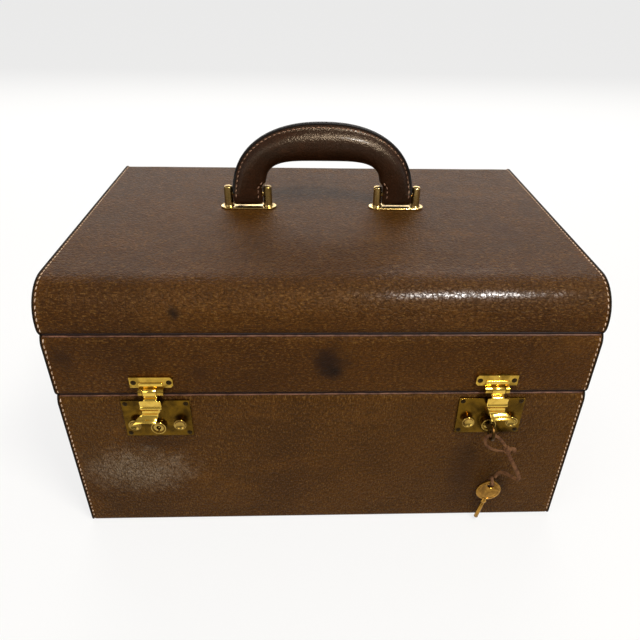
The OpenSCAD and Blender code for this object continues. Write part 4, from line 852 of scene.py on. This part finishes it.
def key_parts():
    """The hanging key: a round bow with an off-centre hole, a collar, a hollow pin shank with two small steps."""
    a = np.linspace(0, 2 * np.pi, 72, endpoint=False)
    up = np.exp(-((a - np.pi / 2 + np.pi) % (2 * np.pi) - np.pi) ** 2 / 0.18)
    bow = np.stack([8.7 * np.cos(a), 8.7 * np.sin(a) - 5.6 + 1.4 * up], 1)
    hole = np.stack([2.5 * np.cos(a), 2.5 * np.sin(a)], 1)
    disc = slab(bow, 1.8, 0.45, hole)
    origin = KEY_HOLE - np.array([0, 0.9, 0])
    disc = set_in(disc, origin, key_side, key_axis, [0, 1, 0])
    rim = np.linspace(0, 2 * np.pi, 64, endpoint=False)
    path = np.stack([7.2 * np.cos(rim), 7.2 * np.sin(rim) - 5.6, np.zeros(64)], 1)
    ridge = np.linspace(0, 2 * np.pi, 8, endpoint=False)
    rings = []
    for k in range(64):
        out = np.array([math.cos(rim[k]), math.sin(rim[k]), 0])
        rings.append(path[k] + 0.35 * np.cos(ridge)[:, None] * out + 0.28 * np.sin(ridge)[:, None] * np.array([0, 0, 1]))
    bead = tube(np.stack(rings), closed=True)
    beads = [set_in(bead, KEY_HOLE + np.array([0, dy, 0]), key_side, key_axis, [0, 1, 0]) for dy in (-0.92, 0.92)]
    root = -5.6 - 8.7 + 0.4
    low = root - 19
    shank = turned([(0.02, low + 5), (0.8, low + 5), (0.85, low + 0.1), (1.3, low), (1.45, low + 0.2), (1.45, root - 4.2), (1.2, root - 4.0),
                    (1.2, root - 3.6), (1.5, root - 3.4), (2.1, root - 2.4), (2.15, root - 1.4), (1.7, root - 0.9),
                    (1.5, root + 0.4), (0.8, root + 1.4), (0.02, root + 1.5)], KEY_HOLE, key_axis, 28)
    return merged([disc, shank] + beads)


hanging_key = link_mesh("hanging_key_cut", *key_parts())
place(thong_lace, "base", LACE, "lace_leather", "thong_lace")
place(thong_loop, "base", LACE, "lace_leather", "thong_loop")
place(thong_knot, "base", LACE, "lace_leather", "thong_knot")
place(key_hitch, "base", LACE, "lace_leather", "key_hitch")
place(hanging_key, "hanging_key", KEY_BRASS, "brass", "hanging_key")

# ---------------------------------------------------------------- leather, panels, painted edges, stitches
COVERS = [("base", "base_cover", "all", "base_leather", 3), ("tray", "tray_front_cover", "front", "tray_front_leather", 5),
          ("tray", "tray_back_cover", "back", "tray_back_leather", 6), ("lid", "lid_cover", "all", "lid_leather", 8)]
for tier, name, part, node, seed in COVERS:
    place(leather_cover(name, tier, part, seed), tier, BASE_LEATHER if tier == "base" else CASE_LEATHER, "brown_leather",
          node)
for tier in ("base", "tray", "lid"):
    for side, word in ((-1, "left"), (1, "right")):
        place(side_panel(f"{tier}_{word}_panel_face", tier, side), tier, PANEL_LEATHER, "brown_leather",
              f"{tier}_{word}_panel")
        place(painted_edge(f"{tier}_{word}_panel_paint", tier, side), tier, EDGE_PAINT, "brown_leather")
    parts = ("front", "back") if tier == "tray" else ("all",)
    place(tier_stitches(f"{tier}_stitching", tier, parts), tier, THREAD, "lace_leather")


def rim_bead(name, z, depth, radius):
    """The turned rim beside a seam: a round bead along the front and the back edge of a tier, slightly uneven."""
    found = []
    a = np.linspace(0, 2 * np.pi, 12, endpoint=False)
    xs = np.linspace(-163.2, 163.2, 110)
    for y, inward, deep in ((FRONT, 1, depth), (BACK, -1, depth - 1.3)):
        wave = 0.07 * np.sin(xs / 7.0) + 0.05 * np.sin(xs / 3.1 + 1)
        pts = np.zeros((len(xs), 12, 3))
        pts[..., 0] = xs[:, None]
        pts[..., 1] = y + inward * deep + radius * np.cos(a)[None, :] + wave[:, None]
        pts[..., 2] = z + radius * 0.8 * np.sin(a)[None, :]
        found.append(tube(pts))
    return link_mesh(name, *merged(found))


place(rim_bead("base_rim", SEAM_1 - 0.8, 2.5, 0.74), "base", RIM_LEATHER, "brown_leather")
place(rim_bead("tray_rim", SEAM_2 - 0.8, 2.5, 0.74), "tray", RIM_LEATHER, "brown_leather")
# The lips: turned edges of the upper tiers, coloured near black as painted shade in the seams' gaps.
place(rim_bead("tray_lip", SEAM_1 + 0.8, 2.35, 0.82), "tray", LIP_PAINTED_SHADE, "brown_leather")
place(rim_bead("lid_lip", SEAM_2 + 0.8, 2.35, 0.82), "lid", LIP_PAINTED_SHADE, "brown_leather")

# ---------------------------------------------------------------- handle
GRIP_RINGS, GRIP_SIDES = 120, 48


def swell(t):
    return np.sin(np.pi * t) ** 0.8


def squared(t, reach, rise, power):
    """A squared arch between two feet: |x / reach|^power + |z / rise|^power = 1, at the angle 180 t."""
    c, s = np.cos(np.pi * t), np.sin(np.pi * t)
    return np.stack([-reach * np.sign(c) * np.abs(c) ** (2 / power), rise * np.abs(s) ** (2 / power)], -1)


def grip_parts():
    """The padded grip between an outer arch (64.2 x 50, power 2.25) and an inner one (40.4 x 24, power 4.3, 2.8 wider under the post tops): an oval at
    the middle, nearly square at the ends, thinned to a sewn flange on the outer side. Below the pins the ends go on
    straight and are rounded under the pin with radius 8. Paint is 1 on the flange's edge."""
    u = np.linspace(0, 1, GRIP_RINGS)
    t = 0.5 - 0.5 * np.cos(np.pi * u)
    outer, inner = squared(t, HANDLE_X + 10.5, 50.0, 2.25), squared(t, HANDLE_X - 13.3, 24.0, 4.3)
    low = np.clip((inner[:, 1] - 5.8) / 4.5, 0, 1)
    inner[:, 0] += np.sign(inner[:, 0]) * 2.8 * (1 - low * low * (3 - 2 * low))
    drop = np.array([0, 1.0, 2.4, 3.8, 5.0, 6.2, 7.1, 7.7, 8.0])
    low_t = 6.3 * np.ones(len(drop))
    reach = np.sqrt(np.maximum(64 - drop ** 2, 0))
    low_t = np.minimum(low_t, reach)
    low_t[-1] = 0.3
    w = swell(t)
    half_t = (12.6 + (18 - 12.6) * w) / 2
    feet = []
    for end in (0, -1):
        o, i = np.tile(outer[end], (len(drop), 1)), np.tile(inner[end], (len(drop), 1))
        o[:, 1] -= drop
        i[:, 1] -= drop
        squeeze = np.clip((drop - 6.8) / 1.2, 0, 1)[:, None] ** 2 * 0.12
        o, i = o + (i - o) * squeeze, i + (o - i) * squeeze
        feet.append((o, i, low_t))
    outer = np.concatenate([feet[0][0][:0:-1], outer, feet[1][0][1:]])
    inner = np.concatenate([feet[0][1][:0:-1], inner, feet[1][1][1:]])
    half_t = np.concatenate([feet[0][2][:0:-1], half_t, feet[1][2][1:]])
    w = np.concatenate([np.zeros(len(drop) - 1), w, np.zeros(len(drop) - 1)])
    p = (outer + inner) / 2
    half_h = np.linalg.norm(outer - inner, axis=1) / 2
    n = (outer - inner) / 2 / half_h[:, None]
    a = np.linspace(0, 2 * np.pi, GRIP_SIDES, endpoint=False)[None, :]
    q = np.cos(a)
    e = 2 / (5 - 2.8 * w[:, None])
    radial = np.sign(q) * np.abs(q) ** e
    across = np.sign(np.sin(a)) * np.abs(np.sin(a)) ** e
    flange = 1.9 / half_t[:, None]
    edge = np.clip((1.0 - radial) / 0.03, 0, 1) ** 0.5
    high = np.clip(w[:, None] * 3, 0, 1)
    thin = 1 - (1 - flange) * np.clip((radial - 0.2) / 0.62, 0, 1) ** 1.6 * high
    wing = np.clip((radial - 0.6) / 0.16, 0, 1) * high
    shaped = np.sign(across) * np.minimum(np.abs(across), thin)
    sheet_edge = np.sign(across) * np.minimum(flange, np.maximum(np.abs(shaped), flange)) * edge
    across = np.where(np.abs(across) > 1e-6, shaped * (1 - wing) + sheet_edge * wing, 0)
    x = p[:, :1] + n[:, :1] * half_h[:, None] * radial
    z = p[:, 1:] + n[:, 1:] * half_h[:, None] * radial
    y = half_t[:, None] * across
    out = np.stack([x, y + HANDLE_Y, z + PIN_Z], -1)
    mark = np.broadcast_to(np.clip((radial - 0.9) / 0.06, 0, 1) * np.clip(w[:, None] * 4, 0, 1), x.shape)
    return out, mark, p, n, half_h, w


rings, paint, arch_p, arch_n, grip_h, grip_w = grip_parts()
grip_v, grip_f = tube(rings)
handle = link_mesh("handle_grip_padded", grip_v, grip_f)
place(handle, "handle", HANDLE_LEATHER, "handle_leather", "handle_grip")


def grip_edge():
    """The painted edge of the sewn flange: a rounded strap laid along the grip's outer arch."""
    inside = slice(14, len(rings) - 14)
    centre = np.column_stack([arch_p[:, 0], np.full(len(rings), HANDLE_Y), arch_p[:, 1] + PIN_Z])[inside]
    out = np.column_stack([arch_n[:, 0], np.zeros(len(rings)), arch_n[:, 1]])[inside]
    spine = centre + out * (grip_h[inside] - 0.75)[:, None]
    high = np.clip(grip_w[inside] * 3, 0, 1)
    half = (6.2 * (1 - high) + 2.0 * high)[:, None]
    a = np.linspace(0, 2 * np.pi, 16, endpoint=False)
    c, s = np.cos(a), np.sin(a)
    thick, wide = np.sign(c) * np.abs(c) ** 0.6 * 0.95, np.sign(s) * np.abs(s) ** 0.6
    return tube(spine[:, None] + out[:, None] * thick[None, :, None] + np.array([0, 1.0, 0]) * (half * wide[None])[..., None])


place(link_mesh("handle_painted_edge", *grip_edge()), "handle", GRIP_PAINT, "handle_leather")


def handle_stitches():
    """Rows beside the painted flange on both faces, all along the outer side, and at the ends of the inner side."""
    found = []
    count = len(rings)
    part = np.linspace(0, 1, count)
    cols = np.arange(GRIP_SIDES)
    for face in (-1, 1):
        half = cols[(np.sin(2 * np.pi * cols / GRIP_SIDES) * face) > 0.01]
        for radial, low, high in ((0.76, 0.03, 0.97), (-0.74, 0.03, 0.22), (-0.74, 0.78, 0.97)):
            rows = np.where((part > low) & (part < high))[0]
            centre = np.column_stack([arch_p[:, 0], np.full(count, HANDLE_Y), arch_p[:, 1] + PIN_Z])[rows]
            out = np.column_stack([arch_n[:, 0], np.zeros(count), arch_n[:, 1]])[rows]
            away = rings[rows][:, half] - centre[:, None]
            reach = (away * out[:, None]).sum(2) / grip_h[rows][:, None]
            off = np.array([np.interp(radial, r[np.argsort(r)], w[np.argsort(r)]) for r, w in zip(reach, away[..., 1])])
            line = centre + out * (grip_h[rows] * radial)[:, None] + np.array([0, 1, 0]) * off[:, None]
            normal = np.tile([0.0, float(face), 0.0], (len(line), 1)) + out * (0.35 if radial > 0 else -0.15)
            normal /= np.linalg.norm(normal, axis=1)[:, None]
            found.append(stitch_row(line, normal, pitch=3.4, length=2.4, width=0.75, lean=8 * face))
    return link_mesh("handle_stitching", *merged([f for f in found if len(f[0])]))


place(handle_stitches(), "handle", DARK_THREAD, "lace_leather")


def handle_mount(name, side):
    """An oval plate with bevelled rim and two turned posts with domed tips."""
    a = np.linspace(0, 2 * np.pi, 72, endpoint=False)
    oval = np.stack([np.sign(np.cos(a)) * 14 + 6 * np.cos(a), 6 * np.sin(a)], 1)
    base = set_in(slab(oval, 1.2, 0.4), [side * HANDLE_X, HANDLE_Y, CASE_H - SKIN_IN], [1, 0, 0], [0, 1, 0], [0, 0, 1])
    found = [base]
    for u in (-14, 14):
        dome = [(3.1 * math.cos(b), 14.6 + 1.5 * math.sin(b)) for b in np.linspace(0, math.pi / 2, 9)[1:-1]]
        profile = [(0.02, 0.3), (3.9, 0.3), (3.9, 1.35), (3.7, 1.6), (3.2, 1.75), (3.1, 2.1), (3.1, 14.2), (3.02, 14.6)]
        found.append(turned(profile + dome + [(0.02, 16.1)], [side * HANDLE_X + u, HANDLE_Y, CASE_H - SKIN_IN], [0, 0, 1], 40))
    return link_mesh(name, *merged(found))


place(handle_mount("handle_mount_left_posts", -1), "lid", POST_BRASS, "brass", "handle_mount_left")
place(handle_mount("handle_mount_right_posts", 1), "lid", POST_BRASS, "brass", "handle_mount_right")


# ---------------------------------------------------------------- hasps
HASP_SIDE = np.array([
    [2.9, 2.42], [4.2, 1.9], [5.05, 0.7], [5.2, -1.2], [4.7, -2.2], [4.2, -2.7], [4.3, -3.2], [5.6, -3.7], [6.3, -4.4],
    [6.4, -6.0], [6.2, -7.6], [6.0, -8.8], [6.5, -9.5], [6.8, -10.2], [6.6, -11.0], [5.9, -11.7], [5.1, -12.6],
    [4.8, -13.8], [5.0, -14.7], [4.9, -15.4], [4.4, -16.2], [4.3, -17.0], [4.8, -17.9], [6.2, -18.8], [7.6, -19.4],
    [8.5, -20.2]])
STRAP_SIDE = np.array([[2.02, 6.4], [2.5, 6.3], [2.8, 5.7], [2.9, 4.9], [2.8, 4.1], [2.5, 3.6], [2.02, 3.5]])
HASP_LEFT = np.array([[2.6, -5.5], [-4.4, -5.5], [-4.8, -8.2], [-10.6, -8.3], [-12.4, -8.2], [-14.2, -7.9], [-16.6, -8.2],
                      [-17.8, -10.4], [-18.8, -12.6], [-19.6, -14.0], [-20.3, -14.6]])
HASP_RIGHT = np.array([[2.6, 2.8], [-4.4, 2.8], [-4.8, 4.9], [-10.6, 5.0], [-12.4, 4.2], [-14.6, 2.9], [-16.8, 1.8],
                       [-18.4, 1.0], [-19.6, 0.7], [-20.3, 0.2]])


def formed(line, left, right, thick, sag=0.0):
    """Sheet brass formed to a side line (out, up) between a left and a right outline, its long edges rounded; its
    lower end sags by sag * (across / 8)^2."""
    s_out, z = line[:, 0], line[:, 1]
    d = np.gradient(line, axis=0)
    d /= np.linalg.norm(d, axis=1)[:, None]
    n = np.stack([-d[:, 1], d[:, 0]], 1)
    n = np.where(n[:, :1] < 0, -n, n)
    f = np.array([0, 0.015, 0.05, 0.2, 0.4, 0.6, 0.8, 0.95, 0.985, 1.0])
    drop = np.array([0.45, 0.14, 0, 0, 0, 0, 0, 0, 0.14, 0.45]) * min(1, thick)
    u = left[:, None] + (right - left)[:, None] * f[None]
    droop = sag * np.clip((-z - 16.5) / 3.0, 0, 1)[:, None] ** 1.5 * ((u + 6.5) / 8) ** 2
    front = np.stack([u, -(s_out[:, None] - n[:, :1] * drop[None]), z[:, None] - n[:, 1:] * drop[None] - droop], -1)
    back = np.stack([u, -(s_out[:, None] - n[:, :1] * (thick - drop[None] * 0.5)),
                     z[:, None] - n[:, 1:] * (thick - drop[None] * 0.5) - droop], -1)
    return shell(front, back)


def hasp(name, side):
    """A hasp: its formed sheet, the turned knuckle round the pin and the staple behind."""
    line = cubic_route(HASP_SIDE, 6)
    left = np.interp(-line[:, 1], -HASP_LEFT[:, 0], HASP_LEFT[:, 1])
    right = np.interp(-line[:, 1], -HASP_RIGHT[:, 0], HASP_RIGHT[:, 1])
    origin = [side * LOCK_X, SKIN_Y, HASP_Z]
    ex, ey, ez = [-side, 0, 0], [0, 1, 0], [0, 0, 1]
    found = [set_in(formed(line, left, right, 1.1, 1.6), origin, ex, ey, ez)]
    knuckle = turned([(0.95, -5.45), (2.25, -5.45), (2.5, -5.2), (2.5, 2.5), (2.25, 2.75), (0.95, 2.75)],
                     [0, -HASP_S, 0], [1, 0, 0], 32, ring=True)
    found.append(set_in(knuckle, origin, ex, ey, ez))
    corner_points = np.array([[-1.5, -15.4], [1.5, -15.4], [1.5, -11.4], [-1.5, -11.4]])
    bar = slab(np.concatenate([corner_points[k] + (corner_points[(k + 1) % 4] - corner_points[k]) * np.linspace(0, 1, 6)[:-1, None]
                               for k in range(4)]), 6.8, 0.25)
    found.append(set_in(bar, [side * (LOCK_X + 1.8), SKIN_Y - 4.7, HASP_Z], ex, ez, ey))
    return link_mesh(name, *merged(found))


def hasp_strap(name, side):
    """The raised band across the lower half of a hasp plate, over its knuckles."""
    line = cubic_route(STRAP_SIDE, 5)
    part = formed(line, np.full(len(line), -7.8), np.full(len(line), 6.8), 0.8)
    return link_mesh(name, *set_in(part, [side * LOCK_X, SKIN_Y, HASP_Z], [-side, 0, 0], [0, 1, 0], [0, 0, 1]))


place(hasp_strap("hasp_strap_left", -1), "tray", BRIGHT_BRASS, "brass")
place(hasp_strap("hasp_strap_right", 1), "tray", BRIGHT_BRASS, "brass")
place(hasp("hasp_left_formed", -1), "hasp_left", BRIGHT_BRASS, "brass", "hasp_left")
place(hasp("hasp_right_formed", 1), "hasp_right", BRIGHT_BRASS, "brass", "hasp_right")


# ---------------------------------------------------------------- slotted screws
def slotted_head(r, rise, slot_angle, depth=0.5, slot=0.42):
    """A shallow domed head with a straight slot: rings of a disc, lowered where |across| < slot / 2."""
    radii = np.array([0.001, 0.25, 0.45, 0.62, 0.78, 0.9, 0.97, 1.0]) * r
    a = np.linspace(0, 2 * np.pi, 40, endpoint=False)
    c, s = np.cos(a), np.sin(a)
    top = []
    for k, q in enumerate(radii):
        x, y = q * c, q * s
        z = rise * (1 - (q / r) ** 2)
        v = -math.sin(slot_angle) * x + math.cos(slot_angle) * y
        z = np.where(np.abs(v) < slot, -depth * 0.4, z) if q < r * 0.95 else z * np.ones_like(x)
        top.append(np.column_stack([x, y, z]))
    low = np.column_stack([r * c, r * s, np.full(40, -0.7)])
    return tube(np.stack(top + [low]))


def screws(name, spots, r, rise, ex, ey, ez, slot=0.24):
    """Slotted heads at several places, each turned its own way."""
    return link_mesh(name, *merged([set_in(slotted_head(r, rise, rng.uniform(0, 3.1), slot=slot), p, ex, ey, ez) for p in spots]))


plate_spots = [(side * (LOCK_X + u), SKIN_Y - PLATE_T - 0.02, z) for side in (-1, 1) for u in (-18.6, 18.6)
               for z in (PLATE_LOW + 2.4, PLATE_TOP - 2.4)]
place(screws("plate_screw_heads", plate_spots, 1.6, 0.25, [1, 0, 0], [0, 0, 1], [0, -1, 0]), "base", SCREW_DARK, "brass",
      "plate_screws")
hasp_spots = [(side * (LOCK_X + u), SKIN_Y - 2.02, HASP_Z + 6.4) for side in (-1, 1) for u in (-10.6, 10.6)]
place(screws("hasp_plate_screw_heads", hasp_spots, 1.7, 0.25, [1, 0, 0], [0, 0, 1], [0, -1, 0]), "tray", SCREW_DARK,
      "brass", "hasp_plate_screws")

# ---------------------------------------------------------------- the key in the right lock
def lock_key_parts():
    """The key in the lock: a ring bow set upright and edge-on, a collar and a shank that goes into the barrel."""
    a = np.linspace(0, 2 * np.pi, 56, endpoint=False)
    bow = np.stack([5.6 * np.cos(a), 5.6 * np.sin(a)], 1)
    hole = np.stack([2.8 * np.cos(a) + 1.4, 2.8 * np.sin(a)], 1)
    ring = set_in(slab(bow, 1.8, 0.4, hole), [LOCK_X - 0.9, SKIN_Y - 10.2, BARREL_Z], [0, -1, 0], [0, 0, 1], [1, 0, 0])
    shank = turned([(0.02, -1.2), (1.45, -1.2), (1.45, 3.2), (1.95, 3.25), (1.95, 4.4), (1.5, 4.7), (1.45, 5.4), (0.9, 6.0),
                    (0.02, 6.1)], [LOCK_X, SKIN_Y, BARREL_Z], [0, -1, 0], 28)
    return merged([ring, shank])


# The key's dark brass is painted shade.
place(link_mesh("lock_key_turned", *lock_key_parts()), "barrel_right", SHADED_KEY_BRASS, "brass", "lock_key")

# ---------------------------------------------------------------- plates with eased edges, from the CAD pieces
def eased(node, name, body, material, width, slot="brass", segments=3):
    """A copy of a CAD piece with its loose triangles merged, its flats joined and its sharp edges rounded."""
    mesh = NODES[node].data.copy()
    mesh.name = name
    work = bmesh.new()
    work.from_mesh(mesh)
    bmesh.ops.remove_doubles(work, verts=work.verts, dist=2e-6)
    bmesh.ops.dissolve_limit(work, angle_limit=0.02, verts=work.verts, edges=work.edges)
    work.to_mesh(mesh)
    work.free()
    mesh.materials.clear()
    obj = bpy.data.objects.new(name, mesh)
    bpy.context.scene.collection.objects.link(obj)
    bevel = obj.modifiers.new("eased_edges", "BEVEL")
    bevel.width = width * MM
    bevel.segments = segments
    bevel.limit_method = "ANGLE"
    bevel.angle_limit = math.radians(50)
    bevel.use_clamp_overlap = True
    for face in mesh.polygons:
        face.use_smooth = True
    flat = obj.modifiers.new("flat_faces", "WEIGHTED_NORMAL")
    flat.mode = "FACE_AREA"
    flat.weight = 100
    flat.keep_sharp = False
    return place(obj, body, material, slot, node)


for word in ("left", "right"):
    eased(f"lock_plate_{word}", f"lock_plate_{word}_eased", "base", PLATE_BRASS, 0.35)
    eased(f"hasp_plate_{word}", f"hasp_plate_{word}_eased", "tray", HASP_PLATE_BRASS, 0.4)


KNOB_PROFILE = [(0.02, -1.5), (1.5, -1.5), (1.5, 0.2), (2.6, 0.25), (2.7, 0.9), (3.2, 1.6), (3.75, 2.3), (4.05, 2.8),
                (4.08, 3.1), (3.95, 3.35), (3.7, 3.45), (3.45, 3.35), (3.2, 3.0), (2.6, 2.45), (1.8, 2.05), (0.9, 1.85),
                (0.02, 1.8)]
SLIDE_OUTLINE = [(-15.5, 92.8), (-12.5, 92.8), (-12.5, 94.2), (12.5, 94.2), (12.5, 92.8), (15.5, 92.8), (15.5, 97.8),
                 (-3.9, 97.8), (-3.9, 106.8), (-6.9, 106.8), (-6.9, 97.8), (-15.5, 97.8)]


def prism(points, near, far):
    """A flat piece: an outline in (x, z) carried from one y to another."""
    p = np.asarray(points, float)
    n = len(p)
    v = np.concatenate([np.column_stack([p[:, 0], np.full(n, y), p[:, 1]]) for y in (near, far)])
    sides = [[k, (k + 1) % n, n + (k + 1) % n, n + k] for k in range(n)]
    return v, outward(v, [list(range(n))[::-1], list(range(n, 2 * n))] + sides)


def slide(name, side):
    """A release slide: a flat bar behind the plate with a catch, and two turned knobs with rolled rims."""
    bar = set_in(prism(SLIDE_OUTLINE, 0.3, 1.7), [side * LOCK_X, SKIN_Y, 0], [-side, 0, 0], [0, 1, 0], [0, 0, 1])
    knobs = [turned(KNOB_PROFILE, [side * (LOCK_X + u), SKIN_Y - PLATE_T, KNOB_Z], [0, -1, 0], 40) for u in (-KNOB_X, KNOB_X)]
    return link_mesh(name, *merged([bar] + knobs))


for word, side in (("left", -1), ("right", 1)):
    place(slide(f"slide_{word}_turned", side), f"slide_{word}", KNOB_BRASS, "brass", f"slide_{word}")
    collar = turned([(4.05, 1.9), (4.0, 2.3), (4.2, 2.5), (4.5, 2.5), (4.72, 2.35), (4.76, 2.1), (4.7, 1.9)],
                    [side * LOCK_X, SKIN_Y - PLATE_T, BARREL_Z], [0, -1, 0], 48, ring=True)
    place(link_mesh(f"lock_collar_rim_{word}", *collar), "base", KNOB_BRASS, "brass")
drill_pin = turned([(0.02, -1.0), (0.5, -1.0), (0.5, 1.5), (0.35, 1.7), (0.02, 1.75)], [-LOCK_X, SKIN_Y - PLATE_T, BARREL_Z],
                   [0, -1, 0], 16)
place(link_mesh("lock_drill_pin", *drill_pin), "barrel_left", KNOB_BRASS, "brass")


# ---------------------------------------------------------------- finishes of the pieces that keep their CAD shape
for word in ("left", "right"):
    finish_node(f"hasp_pin_{word}", BRIGHT_BRASS)
    finish_node(f"barrel_{word}", KNOB_BRASS)
    finish_node(f"handle_pin_{word}", POST_BRASS)
    finish_node(f"lock_case_{word}", HINGE_BRASS)
for node in NODES:
    if "hinge" in node or node.endswith("_leaf") or node.startswith("catch"):
        finish_node(node, HINGE_BRASS)
    elif "carcass" in node:
        finish_node(node, WOOD)
    elif "lining" in node or "divider" in node:
        finish_node(node, SUEDE)
finish_node("lid_mirror", MIRROR)
finish_node("mirror_frame", FRAME_LEATHER)
finish_node("handle_core", STEEL)


# ---------------------------------------------------------------- floor, light and background
def stage_material():
    m, n, shader, v = new_material("pale_floor")
    shader.inputs["Base Color"].default_value = srgb(236, 234, 230)
    shader.inputs["Roughness"].default_value = 0.7
    glow = n.add("ShaderNodeEmission")
    glow.inputs["Color"].default_value = (1, 1, 1, 1)
    glow.inputs["Strength"].default_value = 1.0
    path = n.add("ShaderNodeLightPath")
    seen = n.math("MAXIMUM", path.outputs["Is Camera Ray"], path.outputs["Is Glossy Ray"], True)
    blend = n.add("ShaderNodeMixShader")
    n.put(blend.inputs[0], n.math("MULTIPLY", seen, 0.75))
    n.put(blend.inputs[1], shader.outputs[0])
    n.put(blend.inputs[2], glow.outputs[0])
    out = [x for x in m.node_tree.nodes if x.type == "OUTPUT_MATERIAL"][0]
    n.put(out.inputs["Surface"], blend.outputs[0])
    return m


floor = link_mesh("floor", [[-6000, -6000, -0.05], [6000, -6000, -0.05], [6000, 6000, -0.05], [-6000, 6000, -0.05]], [[0, 1, 2, 3]], False)
dress(floor, stage_material())

world = bpy.data.worlds.new("studio")
bpy.context.scene.world = world
world.use_nodes = True
world.node_tree.nodes.clear()
n = Nodes(world.node_tree)
path = n.add("ShaderNodeLightPath")
seen = n.math("MAXIMUM", path.outputs["Is Camera Ray"], path.outputs["Is Transmission Ray"], True)
soft = n.add("ShaderNodeBackground", None, Color=(1.0, 0.985, 0.965, 1.0), Strength=0.34)
white = n.add("ShaderNodeBackground", None, Color=(1.0, 1.0, 1.0, 1.0), Strength=1.0)
both = n.add("ShaderNodeMixShader", None, i0=seen, i1=soft.outputs[0], i2=white.outputs[0])
n.put(n.add("ShaderNodeOutputWorld").inputs["Surface"], both.outputs[0])


def softbox(name, where, aim, size, power, colour, diffuse=True):
    """A square area lamp that looks at a point, places in metres; it may be left to show in highlights only."""
    data = bpy.data.lights.new(name, "AREA")
    data.shape = "RECTANGLE"
    data.size, data.size_y = size
    data.energy = power
    data.color = colour
    lamp = bpy.data.objects.new(name, data)
    bpy.context.scene.collection.objects.link(lamp)
    lamp.visible_diffuse = diffuse
    lamp.matrix_world = Matrix.Translation(Vector(where)) @ (Vector(where) - Vector(aim)).to_track_quat("Z", "Y").to_matrix().to_4x4()
    return lamp


softbox("key_light", (0.42, -0.62, 1.2), (0.02, -0.05, 0.12), (0.34, 0.2), 11.5, (1.0, 0.965, 0.91))
softbox("fill_light", (-1.1, -0.9, 0.8), (0.0, 0.0, 0.1), (0.9, 0.9), 6.6, (0.97, 0.98, 1.0))
softbox("back_light", (0.0, 1.3, 0.8), (0.0, 0.1, 0.15), (2.6, 0.5), 20, (1.0, 0.99, 0.97))
softbox("shine_light", (0.37, -0.62, 1.1), (0.08, -0.11, 0.18), (0.2, 0.1), 30, (1.0, 0.97, 0.93), diffuse=False)

bpy.context.scene.view_settings.view_transform = "Standard"
